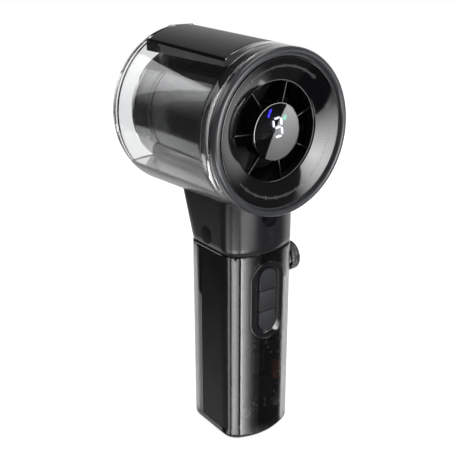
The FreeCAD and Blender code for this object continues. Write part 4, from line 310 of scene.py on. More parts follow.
def socket(shader, name, value):
    """Set one constant input of a shader."""
    if isinstance(value, tuple):
        value = (*value, 1.0)
    shader.inputs[name].default_value = value


def finish_of(name, colour, shade, rough, grain=2500, relief=0.0, spread=60, **constants):
    """A surface with two close colours, uneven gloss and a fine relief in millimetres."""
    material = bpy.data.materials.new(name)
    material.use_nodes = True
    nodes, links = material.node_tree.nodes, material.node_tree.links
    shader = nodes["Principled BSDF"]
    place = nodes.new("ShaderNodeTexCoord")
    broad = nodes.new("ShaderNodeTexNoise")
    broad.inputs["Scale"].default_value = spread
    broad.inputs["Detail"].default_value = 5
    fine = nodes.new("ShaderNodeTexNoise")
    fine.inputs["Scale"].default_value = grain
    fine.inputs["Detail"].default_value = 3
    links.new(place.outputs["Object"], broad.inputs["Vector"])
    links.new(place.outputs["Object"], fine.inputs["Vector"])
    ramp = nodes.new("ShaderNodeValToRGB")
    ramp.color_ramp.elements[0].position = 0.35
    ramp.color_ramp.elements[1].position = 0.7
    ramp.color_ramp.elements[0].color = (*colour, 1)
    ramp.color_ramp.elements[1].color = (*shade, 1)
    links.new(broad.outputs["Fac"], ramp.inputs["Fac"])
    links.new(ramp.outputs["Color"], shader.inputs["Base Color"])
    gloss = nodes.new("ShaderNodeMapRange")
    gloss.inputs["From Min"].default_value = 0.3
    gloss.inputs["From Max"].default_value = 0.7
    gloss.inputs["To Min"].default_value = rough[0]
    gloss.inputs["To Max"].default_value = rough[1]
    links.new(fine.outputs["Fac"], gloss.inputs["Value"])
    links.new(gloss.outputs["Result"], shader.inputs["Roughness"])
    if relief:
        bump = nodes.new("ShaderNodeBump")
        bump.inputs["Strength"].default_value = 0.5
        bump.inputs["Distance"].default_value = relief * MM
        links.new(fine.outputs["Fac"], bump.inputs["Height"])
        links.new(bump.outputs["Normal"], shader.inputs["Normal"])
    for key, value in constants.items():
        socket(shader, key.replace("_", " "), value)
    return material


def layered(material, scale, direction, colour, share=0.5):
    """Add narrow bands of a second colour, for laminations, windings and board traces."""
    nodes, links = material.node_tree.nodes, material.node_tree.links
    shader = nodes["Principled BSDF"]
    wave = nodes.new("ShaderNodeTexWave")
    wave.bands_direction = direction
    wave.inputs["Scale"].default_value = scale
    wave.inputs["Distortion"].default_value = 0.4
    place = nodes.new("ShaderNodeTexCoord")
    links.new(place.outputs["Object"], wave.inputs["Vector"])
    mix = nodes.new("ShaderNodeMix")
    mix.data_type = "RGBA"
    before = shader.inputs["Base Color"].links[0].from_socket
    edge = nodes.new("ShaderNodeMapRange")
    edge.inputs["From Min"].default_value = share - 0.05
    edge.inputs["From Max"].default_value = share + 0.05
    links.new(wave.outputs["Fac"], edge.inputs["Value"])
    links.new(edge.outputs["Result"], mix.inputs["Factor"])
    links.new(before, mix.inputs["A"])
    mix.inputs["B"].default_value = (*colour, 1)
    links.new(mix.outputs["Result"], shader.inputs["Base Color"])
    return material


def glow(name, colour, strength):
    """A lit bar with a slightly uneven glow."""
    material = finish_of(name, colour, tuple(part * 0.8 for part in colour), (0.3, 0.5), spread=900)
    shader = material.node_tree.nodes["Principled BSDF"]
    socket(shader, "Emission Color", colour)
    socket(shader, "Emission Strength", strength)
    return material


MATERIALS = {
    "rim_black": finish_of("rim_black", (0.060, 0.062, 0.068), (0.070, 0.073, 0.080), (0.20, 0.27),
                           relief=0.002, IOR=1.8),
    "cone_black": finish_of("cone_black", (0.004, 0.004, 0.005), (0.006, 0.006, 0.007), (0.05, 0.08),
                            IOR=1.9),
    "clear": finish_of("clear", (0.97, 0.975, 0.98), (0.95, 0.955, 0.96), (0.0, 0.015), grain=700,
                       Transmission_Weight=1.0, IOR=1.49),
    "frosted": finish_of("frosted", (0.62, 0.63, 0.65), (0.55, 0.56, 0.58), (0.30, 0.42), grain=1800,
                         relief=0.004, Transmission_Weight=0.4, IOR=1.49),
    "smoked": finish_of("smoked", (0.36, 0.36, 0.37), (0.31, 0.31, 0.32), (0.01, 0.03), grain=700,
                        Transmission_Weight=1.0, IOR=1.7),
    "lens_black": finish_of("lens_black", (0.05, 0.05, 0.055), (0.04, 0.04, 0.045), (0.01, 0.03), grain=700,
                            Transmission_Weight=1.0, IOR=1.8),
    "satin_black": finish_of("satin_black", (0.014, 0.015, 0.017), (0.020, 0.021, 0.024), (0.20, 0.26),
                             relief=0.002, IOR=1.75),
    "matte_black": finish_of("matte_black", (0.012, 0.0125, 0.014), (0.018, 0.0185, 0.020), (0.42, 0.55),
                             grain=3500, relief=0.004, IOR=1.25),
    "duct_black": finish_of("duct_black", (0.005, 0.005, 0.006), (0.008, 0.008, 0.009), (0.12, 0.17),
                            IOR=1.9),
    "key_grey": finish_of("key_grey", (0.026, 0.027, 0.030), (0.044, 0.045, 0.050), (0.36, 0.48),
                          grain=4200, relief=0.006),
    "dark_rubber": finish_of("dark_rubber", (0.012, 0.012, 0.013), (0.020, 0.020, 0.021), (0.60, 0.75),
                             relief=0.006),
    "clear_rubber": finish_of("clear_rubber", (0.80, 0.81, 0.82), (0.72, 0.73, 0.74), (0.25, 0.35),
                              Transmission_Weight=0.8, IOR=1.41),
    "steel": finish_of("steel", (0.55, 0.56, 0.57), (0.48, 0.49, 0.50), (0.20, 0.30), Metallic=1.0),
    "bright_metal": finish_of("bright_metal", (0.72, 0.72, 0.73), (0.62, 0.62, 0.63), (0.10, 0.16),
                              Metallic=1.0),
    "dark_metal": finish_of("dark_metal", (0.22, 0.22, 0.23), (0.30, 0.30, 0.31), (0.16, 0.24), Metallic=1.0),
    "magnet": finish_of("magnet", (0.30, 0.30, 0.31), (0.24, 0.24, 0.25), (0.25, 0.35), Metallic=1.0),
    "laminations": layered(finish_of("laminations", (0.35, 0.35, 0.36), (0.28, 0.28, 0.29), (0.30, 0.42),
                                     Metallic=1.0), 900, "Y", (0.08, 0.08, 0.085)),
    "cell_wrap": finish_of("cell_wrap", (0.03, 0.05, 0.06), (0.04, 0.06, 0.07), (0.22, 0.32)),
    "board_black": layered(finish_of("board_black", (0.006, 0.009, 0.008), (0.010, 0.014, 0.012),
                                     (0.25, 0.35)), 210, "X", (0.018, 0.026, 0.022), 0.8),
    "chip_black": finish_of("chip_black", (0.030, 0.030, 0.032), (0.045, 0.045, 0.048), (0.35, 0.50),
                            grain=6000, relief=0.003),
    "component_grey": finish_of("component_grey", (0.62, 0.62, 0.60), (0.50, 0.50, 0.49), (0.30, 0.42),
                                Metallic=0.2),
    "copper": layered(finish_of("copper", (0.75, 0.30, 0.16), (0.60, 0.22, 0.11), (0.30, 0.42),
                                Metallic=0.3), 1500, "Z", (0.30, 0.09, 0.04)),
    "cotton": finish_of("cotton", (0.75, 0.74, 0.71), (0.62, 0.61, 0.58), (0.85, 0.95), grain=5000,
                        relief=0.05),
    "wire_red": finish_of("wire_red", (0.35, 0.02, 0.02), (0.25, 0.015, 0.015), (0.35, 0.45)),
    "lit_white": glow("lit_white", (0.9, 0.95, 1.0), 30.0),
    "lamp_black": finish_of("lamp_black", (0.006, 0.006, 0.007), (0.010, 0.010, 0.012), (0.03, 0.06),
                            IOR=1.8),
}
LIT_BLUE = glow("lit_blue", (0.06, 0.05, 1.0), 34.0)
LIT_GREEN = glow("lit_green", (0.05, 0.8, 0.5), 12.0)
BORE_BLACK = finish_of("bore_black", (0.002, 0.002, 0.002), (0.004, 0.004, 0.004), (0.55, 0.70), IOR=1.2)
PALE_FLOOR = finish_of("pale_floor", (0.90, 0.91, 0.92), (0.84, 0.85, 0.86), (0.10, 0.18), grain=1800,
                       relief=0.003, Metallic=0.85)
LID_BLACK = finish_of("lid_black", (0.030, 0.031, 0.034), (0.038, 0.039, 0.043), (0.40, 0.48),
                      relief=0.002, IOR=1.38)
RING_BLACK = finish_of("ring_black", (0.012, 0.0125, 0.014), (0.018, 0.0185, 0.020), (0.06, 0.10), IOR=1.9)
MARK_GREY = finish_of("mark_grey", (0.35, 0.35, 0.36), (0.25, 0.25, 0.26), (0.4, 0.5))


def give(piece, slot, body="housing", nodes=(), material=None):
    """Give a finished piece its material and its body, and hide the nodes that it stands for."""
    piece.data.materials.clear()
    piece.data.materials.append(material or MATERIALS[slot])
    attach(piece, body)
    if nodes:
        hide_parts(*nodes)
    return piece


def refinish(piece, material, chosen):
    """Give a second material to the faces whose middle, in millimetres, is chosen."""
    piece.data.materials.append(material)
    for face in piece.data.polygons:
        if chosen(face.center / MM, face.normal):
            face.material_index = 1


def dress_frame():
    """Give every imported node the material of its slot."""
    for part in frame["record"]["subparts"]:
        node = frame["nodes"][part["node"]]
        for holder in node.material_slots:
            holder.material = MATERIALS[part["material_slot"]]


# The front of the head.

def bezel():
    """Satin rim with a rounded front and a groove inside it."""
    profile = rounded([
        (BEZEL_BACK, BEZEL_RADIUS, 0.15), (BEZEL_FRONT, BEZEL_RADIUS, 1.4), (BEZEL_FRONT, GROOVE_OUT, 1.1),
        (BEZEL_BACK - 1, GROOVE_OUT), (BEZEL_BACK - 1, SLEEVE_IN), (COLLAR_BACK - 2, SLEEVE_IN),
        (COLLAR_BACK - 2, SLEEVE_OUT), (BEZEL_BACK, SLEEVE_OUT),
    ], 10)
    give(turned("bezel", profile), "rim_black", nodes=["bezel_ring"])


def cone():
    """Glossy cone from the rim to the throat, with plain tick marks printed on it."""
    bore = DUCT_RADIUS - DUCT_WALL
    profile = rounded([
        (CONE_LIP, CONE_EDGE, 0.5), (THROAT_FRONT, THROAT_RADIUS, 0.3),
        (THROAT_FRONT + 2 * SPOKE_DEPTH, THROAT_RADIUS), (THROAT_BACK, bore - 0.4), (THROAT_BACK, bore),
        (COLLAR_BACK - 2, bore), (BEZEL_BACK - 0.4, SLEEVE_IN - 0.2), (BEZEL_BACK - 1, SLEEVE_IN - 0.2),
        (BEZEL_BACK - 1, CONE_EDGE),
    ], 6)
    piece = give(turned("cone", profile), "cone_black", nodes=["intake_cone"])
    refinish(piece, BORE_BLACK, lambda middle, normal: middle.y > THROAT_FRONT + 0.3)
    give(tick_marks(), "component_grey", material=MARK_GREY)


def tick_marks():
    """Three arcs of plain radial ticks, a hair above the cone."""
    slope = (THROAT_FRONT - CONE_LIP) / (CONE_EDGE - THROAT_RADIUS)
    middle, lift, width = 26.4, 0.02, 0.13
    points, faces = [], []
    for first, last in ((-58, 42), (92, 142), (148, 232)):
        turn = first
        index = 0
        while turn <= last:
            half = 0.75 if index % 5 == 0 else 0.4
            angle = math.radians(turn)
            out = Vector((math.sin(angle), 0, math.cos(angle)))
            side = Vector((math.cos(angle), 0, -math.sin(angle)))
            base = len(points)
            for height in (lift, -lift):
                for reach, across in ((-half, -width), (-half, width), (half, width), (half, -width)):
                    radius = middle + reach
                    along = CONE_LIP + (CONE_EDGE - radius) * slope - height
                    points.append(Vector((0, along, HEAD)) + out * radius + side * across)
            faces += [(base, base + 1, base + 2, base + 3), (base + 7, base + 6, base + 5, base + 4)]
            for edge in range(4):
                after = (edge + 1) % 4
                faces.append((base + edge, base + 4 + edge, base + 4 + after, base + after))
            turn += 2.4
            index += 1
    return tidy(mesh_object("tick_marks", points, faces))


def collar():
    """Clear ring over the rim's sleeve."""
    profile = rounded([
        (BEZEL_BACK + 0.06, SLEEVE_OUT + 0.05), (BEZEL_BACK + 0.06, BEZEL_RADIUS - 0.02, 0.25),
        (COLLAR_BACK - 0.06, COLLAR_RADIUS - 0.02, 0.25), (COLLAR_BACK - 0.06, SLEEVE_OUT + 0.05),
    ])
    ring = carve(turned("collar", profile), box("above", (-60, -60, HEAD - CHORD + 0.05), (60, 60, 230)),
                 operation="INTERSECT")
    give(ring, "clear", nodes=["collar_ring"])


def grille():
    """Thin spokes, the ring in the throat and the ring of the display pod."""
    rim_in = THROAT_RADIUS - 0.6
    hub_in = POD_RADIUS - POD_WALL
    front = LENS_FRONT + LENS_THICK
    pieces = [
        turned("rim", rounded([(front, THROAT_RADIUS), (THROAT_FRONT + 4, THROAT_RADIUS),
                               (THROAT_FRONT + 4, rim_in), (front, rim_in, 0.25)])),
        turned("hub", rounded([(front, POD_RADIUS, 0.2), (POD_BACK - POD_WALL, POD_RADIUS),
                               (POD_BACK - POD_WALL, hub_in), (front, hub_in)])),
    ]
    for index in range(SPOKES):
        half = SPOKE_WIDTH / 2
        spoke = box("spoke", (-half, front, hub_in + 0.4), (half, front + SPOKE_DEPTH, rim_in + 0.3))
        spoke = soften(spoke, 0.12, 2)
        turn = Matrix.Rotation(math.radians(180 - SPOKE_TURN + 360 * index / SPOKES), 4, "Y")
        spoke.data.transform(turn)
        spoke.data.transform(Matrix.Translation((0, 0, HEAD * MM)))
        pieces.append(spoke)
    give(joined("grille", pieces), "duct_black", nodes=["intake_grille"])


def lens():
    """Slightly dished glossy window over the display."""
    dish = 0.45
    rows = 24
    front = []
    for step in range(rows + 1):
        radius = (POD_RADIUS - 0.35) * step / rows
        front.append((LENS_FRONT + 0.06 + dish * (1 - (radius / POD_RADIUS) ** 2), radius))
    profile = front + rounded([(LENS_FRONT, POD_RADIUS - 0.3, 0.12), (LENS_FRONT, POD_RADIUS, 0.2),
                               (LENS_FRONT + LENS_THICK, POD_RADIUS)], 4)
    profile.append((LENS_FRONT + LENS_THICK, 0))
    give(turned("lens", profile), "lens_black", nodes=["display_lens"])


def digit():
    """One lit seven-bar digit, leaning a little, and two small signs above it."""
    front = -21.6
    half, tall, thick, reach = 2.03, 3.83, 0.34, 1.45
    middle = Vector((1.55, HEAD + 1.54))
    lean = Matrix.Rotation(math.radians(8), 2)

    def spot(across, up):
        return middle + lean @ Vector((across, up))

    lit, dark = [], []
    for level in (-1, 0, 1):
        lit.append(bar(spot(0, level * tall), lean @ Vector((1, 0)), reach, thick, front))
    for side in (-1, 1):
        for level in (-1, 1):
            piece = bar(spot(side * half, level * tall / 2), lean @ Vector((0, 1)), reach, thick, front)
            (dark if (side, level) == (-1, -1) else lit).append(piece)
    give(joined("digit_lit", lit), "lit_white", nodes=["display_segments"])
    give(joined("digit_dark", dark), "chip_black")
    drops = [bar((across, HEAD + up), (0.3, 1), reach, 0.34, front)
             for across, up, reach in ((-2.7, 8.7, 1.0), (-3.4, 6.9, 0.8))]
    give(joined("sign_mist", drops), "lit_white", material=LIT_BLUE)
    cell = [bar((5.1, HEAD + up), (1, 0.14), 0.8, 0.24, front) for up in (4.5, 5.2, 5.9)]
    give(joined("sign_charge", cell), "lit_white", material=LIT_GREEN)


def bar(centre, direction, reach, thick, front):
    """A flat bar with pointed ends, in the plane of the display."""
    along = Vector(direction).normalized()
    side = Vector((-along.y, along.x))
    middle = Vector(centre)
    outline = []
    for share, wide in ((-1, 0), (-0.78, -1), (0.78, -1), (1, 0), (0.78, 1), (-0.78, 1)):
        outline.append(middle + along * reach * share + side * thick * wide)
    return skin("bar", [[(x, front, z) for x, z in outline], [(x, front + 0.5, z) for x, z in outline]])


# The tank, the duct and the lid.

def head_room(low, high):
    """A block whose heights are measured from the head's axis."""
    return box("room", (low[0], low[1], HEAD + low[2]), (high[0], high[1], HEAD + high[2]))


def lid_window():
    """The opening for the lid and its frame, without the tank's inner wall."""
    half = LID_HALF + LID_GAP
    opening = head_room((-half, LID_FRONT - LID_GAP, FRAME_LOW), (half, TANK_END - END_WALL, 60))
    core = DUCT_RADIUS + DUCT_GAP + TANK_CORE_WALL
    return carve(opening, rod("core", -40, 60, core))


def tank():
    """Clear ring-shaped tank with a flat floor."""
    core = DUCT_RADIUS + DUCT_GAP
    inner = core + TANK_CORE_WALL
    front = COLLAR_BACK + 0.06
    shell = turned("tank", rounded([
        (front, core), (front, COLLAR_RADIUS, 0.3), (TANK_SEAM, flared(TANK_SEAM)), (TANK_SEAM, core)]))
    shell = carve(shell, head_room((-60, -60, 0.05 - CHORD), (60, 60, 60)), operation="INTERSECT")
    start = COLLAR_BACK + TANK_WALL
    room = turned("room", rounded([
        (start, inner, 0.8), (start, flared(start, TANK_WALL), 0.8),
        (TANK_SEAM + 1, flared(TANK_SEAM + 1, TANK_WALL)), (TANK_SEAM + 1, inner)]))
    room = carve(room, head_room((-60, -60, FLOOR - CHORD), (60, 60, 60)), operation="INTERSECT")
    piece = give(carve(shell, room, lid_window()), "clear", nodes=["tank_shell"])
    top_of_floor = HEAD - CHORD + FLOOR + 0.1
    refinish(piece, PALE_FLOOR, lambda middle, normal: middle.z < top_of_floor and abs(normal.z) > 0.9)


def tank_end():
    """Clear end ring with the far wall and the block that carries the lid's hinge."""
    give(copied("tank_end", "tank_end_cap"), "clear", nodes=["tank_end_cap"])


def lid():
    """Curved satin lid with rounded edges and its knuckle."""
    columns, rows = 40, 36
    outer, inner = [], []
    for row in range(rows + 1):
        along = LID_FRONT + (LID_BACK - LID_FRONT) * row / rows
        over, under = [], []
        for column in range(columns + 1):
            across = LID_HALF * (2 * column / columns - 1)
            over.append((across, along, HEAD + math.sqrt(flared(along) ** 2 - across ** 2)))
            under.append((across, along, HEAD + math.sqrt(flared(along, LID_THICK) ** 2 - across ** 2)))
        outer.append(over)
        inner.append(under)
    loops = [over + list(reversed(under)) for over, under in zip(outer, inner)]
    panel = soften(skin("lid_panel", loops), 0.35, 4)
    hinge, bore = (0, HINGE_ALONG, HEAD + HINGE_UP), 0.65
    knuckle = turned("knuckle", rounded([
        (-KNUCKLE_HALF, bore), (-KNUCKLE_HALF, KNUCKLE, 0.2),
        (KNUCKLE_HALF, KNUCKLE, 0.2), (KNUCKLE_HALF, bore)]), "x", hinge, 48)
    top = HINGE_UP + KNUCKLE
    tab = head_room((-KNUCKLE_HALF, LID_BACK - 1.5, top - 1.2), (KNUCKLE_HALF, HINGE_ALONG, top - 0.1))
    tab = carve(tab, rod("bore", -9, 9, 0.9, "x", hinge, 48))
    give(joined("lid", [panel, knuckle, tab]), "satin_black", "lid", ["lid_cover"], LID_BLACK)


def duct():
    """Glossy black duct with its flange, and the bright ring at its far end."""
    bore = DUCT_RADIUS - DUCT_WALL
    profile = rounded([
        (COLLAR_BACK - 2, bore), (COLLAR_BACK - 2, SLEEVE_OUT), (COLLAR_BACK, SLEEVE_OUT, 0.2),
        (COLLAR_BACK, DUCT_RADIUS), (DUCT_END, DUCT_RADIUS, 0.3), (DUCT_END, bore)])
    give(turned("duct", profile), "duct_black", nodes=["duct_tube"])
    ring = rounded([(DUCT_END, bore), (DUCT_END, DUCT_RADIUS + DUCT_GAP - 0.05),
                    (TANK_END - 0.4, DUCT_RADIUS + DUCT_GAP - 0.05, 0.8), (TANK_END - 0.4, bore, 0.5)], 8)
    give(turned("outlet_rim", ring), "bright_metal", nodes=["outlet_ring"])


def belly():
    """Satin lower part of the head."""
    give(soften(copied("belly", "belly_cover"), 0.2, 2), "satin_black", nodes=["belly_cover"])


# The neck.

def neck():
    """Satin neck that leans back from the handle up to the head."""
    levels = 14
    low, part = NECK_LOW + NECK_BEVEL, NECK_BEVEL * 0.3
    loops = [at_height(plan(NECK_BEVEL), NECK_LOW), at_height(plan(part), NECK_LOW + part)]
    for level in range(levels + 1):
        share = level / levels
        height = low + (NECK_TOP - low) * share
        back = HALF_DEPTH + (NECK_BACK - HALF_DEPTH) * share
        loops.append(at_height(plan(0, back), height))
    shell = skin("neck", loops)
    head = turned("head", [(-25.5, 0), (-25.5, BEZEL_RADIUS - 0.02), (COLLAR_BACK, COLLAR_RADIUS - 0.02),
                           (TANK_END, TANK_RADIUS - 0.02), (TANK_END, 0)])
    hollow = box("hollow", (-10.5, -14.5, 88), (10.5, 15.5, 104))
    middle, fine = (0, PLUG_ALONG, PLUG_HEIGHT), 72
    sockets = [rod("socket", side * PLUG_SEAT, side * 20, PLUG_RADIUS + 0.02, "x", middle, fine)
               for side in (-1, 1)]
    lamp = rod("lamp", -22, LAMP_BACK, LAMP_RADIUS, "y", (0, 0, LAMP_HEIGHT), fine)
    lamp_top = box("lamp_top", (-LAMP_RADIUS, -22, LAMP_HEIGHT), (LAMP_RADIUS, LAMP_BACK, 120))
    give(carve(shell, head, hollow, *sockets, lamp, lamp_top), "satin_black", nodes=["neck_shell"])
    seat = PLUG_SEAT + 0.05
    plugs = [soften(rod("plug", side * seat, side * PLUG_OUT, PLUG_RADIUS, "x", middle, fine), 0.15)
             for side in (-1, 1)]
    give(joined("plugs", plugs), "matte_black", nodes=["neck_plugs"])


def lamp_window():
    """Glossy window under the head."""
    give(soften(copied("lamp_window", "indicator_lens"), 0.25, 3), "lamp_black", nodes=["indicator_lens"])


# The handle.

def shell():
    """Smoked clear sleeve with its openings and the seats of the side panels."""
    outer, inner = [], []
    fillet, steps, levels = 1.5, 5, 10
    for step in range(steps + 1):
        turn = math.radians(90 * step / steps)
        inset, rise = fillet * (1 - math.sin(turn)), fillet * (1 - math.cos(turn))
        outer.append(at_height(plan(inset), HANDLE_FOOT + rise))
    low = HANDLE_FOOT + fillet
    outer.append(at_height(plan(), low + 0.3))
    for level in range(1, levels + 1):
        outer.append(at_height(plan(), low + (HANDLE_TOP - 0.3 - low) * level / levels))
    outer.insert(-1, at_height(plan(), HANDLE_TOP - 0.6))
    outer.append(at_height(plan(0.3), HANDLE_TOP))
    for level in range(levels + 1):
        inner.append(at_height(plan(SHELL_WALL), HANDLE_TOP - (HANDLE_TOP - HANDLE_FOOT) * level / levels))
    sleeve = skin("shell", outer + inner, closed=True)
    window = skin("window", [[(x, y, KEYPAD + z) for x, z, out in stadium(WELL_HALF, WELL_TALL)]
                             for y in (-22, -12)])
    knob_hole = rod("knob_hole", 14, 20, KNOB_HOLE, "x", (0, KNOB_ALONG, KNOB_HEIGHT), 72)
    port_hole = skin("port_hole", [[(x, y, PORT_HEIGHT + z) for z, x, out in stadium(PORT_TALL, PORT_WIDE)]
                                   for y in (15, 22)])
    give(carve(sleeve, window, knob_hole, port_hole, panel(-1, PANEL_TOP, 0.0), panel(1, PANEL_SHORT, 0.0)),
         "smoked", nodes=["handle_shell"])


def panel(side, high, room):
    """A plate that follows the flank, or with no room taken off, the seat that it fills."""
    front, back = PANEL_FRONT + room, PANEL_BACK - room
    rows = []
    steps = 24
    for below in (room / 2 if room else -1.0, PANEL_THICK):
        row = []
        corner = CORNER - below
        for step in range(steps + 1):
            y = front + (back - front) * step / steps
            centre = -math.sqrt((BOW - CORNER) ** 2 - (HALF_WIDTH - CORNER) ** 2) + BOW - HALF_DEPTH
            if y < centre:
                across = HALF_WIDTH - CORNER + math.sqrt(corner ** 2 - (centre - y) ** 2)
            else:
                across = HALF_WIDTH - below
            row.append((side * across, y))
        rows.append(row)
    outline = rows[0] + list(reversed(rows[1]))
    return skin("panel", [at_height(outline, PANEL_LOW + room), at_height(outline, high - room)])


def panels():
    """Matte plates in the flanks."""
    plates = [soften(panel(-1, PANEL_TOP, 0.12), 0.12, 2), soften(panel(1, PANEL_SHORT, 0.12), 0.12, 2)]
    give(joined("flank_panels", plates), "matte_black", nodes=["side_panels"])


def foot():
    """Foot of the handle."""
    give(soften(copied("foot", "base_cap"), 0.2, 2), "satin_black", nodes=["base_cap"])


def keypad():
    """Glossy bevelled ring round the keys, and the three keys."""
    inner = KEY_HALF + KEY_GAP
    tall = KEYS_TALL + KEY_GAP
    step = inner + WELL_STEP
    floor = -HALF_DEPTH + WELL_DEEP
    loops = []
    for inset, depth in ((0.02, 3.2), (0.02, 0.16), (0.08, 0.05), (0.25, 0.0), (0.55, 0.06)):
        loops.append([(x, front_face(x) + depth, KEYPAD + z)
                      for x, z, out in stadium(WELL_HALF - inset, WELL_TALL - inset)])
    for width, depth in ((step + 0.35, -0.12), (step + 0.1, -0.02), (step - 0.2, 0.0), (inner + 0.2, 0.0),
                         (inner + 0.06, 0.06), (inner, 0.2), (inner, 1.7)):
        grow = width - inner
        loops.append([(x, floor + depth, KEYPAD + z) for x, z, out in stadium(width, tall + grow)])
    give(skin("key_ring", loops, closed=True), "cone_black", nodes=["key_bezel"], material=RING_BLACK)
    third = KEYS_TALL / 3
    for name, body, level in (("key_top", "top_key", 1), ("key_middle", "middle_key", 0),
                              ("key_bottom", "bottom_key", -1)):
        low = -1 if level < 0 else third * (2 * level - 1) / KEYS_TALL
        whole = skin(name + "_cap", [[(x, y, KEYPAD + z) for x, z, out in stadium(KEY_HALF, KEYS_TALL)]
                                     for y in (KEY_FRONT, KEY_FRONT + KEY_THICK)])
        bottom = KEYPAD + third * (2 * level - 1) + KEY_GAP / 2 - (3 if level < 0 else 0)
        top = KEYPAD + third * (2 * level + 1) - KEY_GAP / 2 + (3 if level > 0 else 0)
        key = carve(whole, box("slice", (-9, -25, bottom), (9, -10, top)), operation="INTERSECT")
        give(soften(key, 0.3, 3), "key_grey", body, [name])


def knob():
    """Knob with a diamond knurl on its rim, and the bright collar under it."""
    count, rows, per, crossings = 30, 24, 10, 3.5
    edge, deep = 0.35, 0.45
    loops = []
    steps = count * per
    for step in range(steps):
        turn = 2 * math.pi * step / steps
        profile = [(KNOB_LOW, 3.0), (KNOB_LOW, KNOB_RADIUS - 0.5)]
        for row in range(rows + 1):
            share = row / rows
            along = KNOB_LOW + edge + (KNOB_HIGH - KNOB_LOW - 2 * edge - 0.2) * share
            first = abs((step / per + share * crossings) % 1 - 0.5) * 2
            second = abs((step / per - share * crossings) % 1 - 0.5) * 2
            profile.append((along, KNOB_RADIUS - deep * (1 - min(first, second)) ** 2))
        profile += [(KNOB_HIGH - 0.2, KNOB_RADIUS - 0.55), (KNOB_HIGH, KNOB_RADIUS - 0.9),
                    (KNOB_HIGH, KNOB_RADIUS - 2.2), (KNOB_HIGH - 0.15, KNOB_RADIUS - 2.5),
                    (KNOB_HIGH - 0.15, 0), (KNOB_HIGH - 1.2, 0), (KNOB_HIGH - 1.2, 3.0)]
        loops.append([(along, KNOB_ALONG + radius * math.sin(turn), KNOB_HEIGHT + radius * math.cos(turn))
                      for along, radius in profile])
    give(skin("knob", loops, closed=True), "dark_metal", "knob", ["knob_cap"])
    collar_profile = rounded([(16, 3.05), (16, 5.4), (18.9, 5.4, 0.3), (18.9, 3.05, 0.2)])
    give(turned("knob_ring", collar_profile, "x", (0, KNOB_ALONG, KNOB_HEIGHT), 96), "bright_metal",
         nodes=["knob_collar"])


# Small parts on the board behind the clear front.

def on_board(name, across, height, half_width, half_height, tall, edge=0.08):
    """A block soldered to the front of the main board."""
    block = box(name, (across - half_width, BOARD_FRONT - tall, height - half_height),
                (across + half_width, BOARD_FRONT - 0.02, height + half_height))
    return soften(block, edge, 2)


def board_parts():
    """Chips with bright legs, wound coils and small bright parts on the main board."""
    chips = [on_board("chip", *spot, 0.15) for spot in (
        (1.6, 22.6, 4.2, 5.2, 1.6), (-0.8, 36, 2.2, 5.2, 1.2), (-6.6, 24, 2, 3, 1), (-6.8, 42, 1.8, 2.4, 1))]
    give(joined("chips", chips), "chip_black", nodes=["board_chips"])
    legs = []
    for step in range(9):
        height = 36 - 4.6 + 1.15 * step
        for side in (-1, 1):
            legs.append(on_board("leg", -0.8 + side * 2.65, height, 0.5, 0.22, 0.35))
    for step in range(7):
        legs.append(on_board("leg", 1.6 - 3.6 + 1.2 * step, 22.6 - 5.7, 0.25, 0.5, 0.35))
    for step in range(5):
        for side in (-1, 1):
            legs.append(on_board("leg", -6.6 + side * 2.3, 21.8 + 1.1 * step, 0.35, 0.2, 0.3))
    for across, height in ((-3.4, 47.5), (2.8, 45.2), (6.2, 38.6), (-10.2, 33), (-9.6, 18), (6.6, 20.5),
                           (9.8, 20.6), (8.6, 16.8), (-1.8, 13.2), (-5.4, 12.4), (10.4, 37.2), (4.4, 41.8)):
        legs.append(on_board("pad", across, height, 0.45, 0.3, 0.5))
    give(joined("legs", legs), "component_grey")
    top, bottom = BOARD_FRONT - 2, BOARD_FRONT - 0.02
    coils = [turned("coil", rounded([(top, COIL_HOLE, 0.2), (top, COIL_RADIUS, 0.3),
                                     (bottom, COIL_RADIUS), (bottom, COIL_HOLE)]), "y",
                    (COIL_ACROSS, 0, height), 48) for height in COIL_HEIGHTS]
    give(joined("coils", coils), "copper", nodes=["board_inductors"])


# Light, floor and camera. White is seen directly and through clear plastic. A mirrored ray sees the
# studio instead: a white backdrop behind the object, soft panels and darkness between them.

def math_node(nodes, links, operation, first, second):
    """One arithmetic step between two values of a shader."""
    node = nodes.new("ShaderNodeMath")
    node.operation = operation
    for index, value in enumerate((first, second)):
        if isinstance(value, (int, float)):
            node.inputs[index].default_value = value
        else:
            links.new(value, node.inputs[index])
    return node.outputs["Value"]


def map_node(nodes, links, value, before, after, smooth=False):
    """A value carried from one range to another, and held at its ends."""
    node = nodes.new("ShaderNodeMapRange")
    if smooth:
        node.interpolation_type = "SMOOTHSTEP"
    links.new(value, node.inputs["Value"])
    node.inputs["From Min"].default_value, node.inputs["From Max"].default_value = before
    node.inputs["To Min"].default_value, node.inputs["To Max"].default_value = after
    return node.outputs["Result"]


def ray_kind(nodes, links):
    """Two switches: a ray that only clear plastic has bent, and a ray that was mirrored."""
    path = nodes.new("ShaderNodeLightPath")
    seen = math_node(nodes, links, "MAXIMUM", path.outputs["Is Camera Ray"],
                     path.outputs["Is Transmission Ray"])
    bounces = math_node(nodes, links, "ADD", path.outputs["Glossy Depth"], path.outputs["Diffuse Depth"])
    unbounced = math_node(nodes, links, "LESS_THAN", bounces, 0.5)
    straight = math_node(nodes, links, "MULTIPLY", seen, unbounced)
    glossy = math_node(nodes, links, "MAXIMUM", path.outputs["Is Glossy Ray"], path.outputs["Glossy Depth"])
    mirrored = math_node(nodes, links, "GREATER_THAN", glossy, 0.5)
    return straight, mirrored


def mixed(nodes, links, share, first, second):
    """Two shaders mixed by a share."""
    mix = nodes.new("ShaderNodeMixShader")
    links.new(share, mix.inputs["Fac"])
    links.new(first, mix.inputs[1])
    links.new(second, mix.inputs[2])
    return mix.outputs["Shader"]


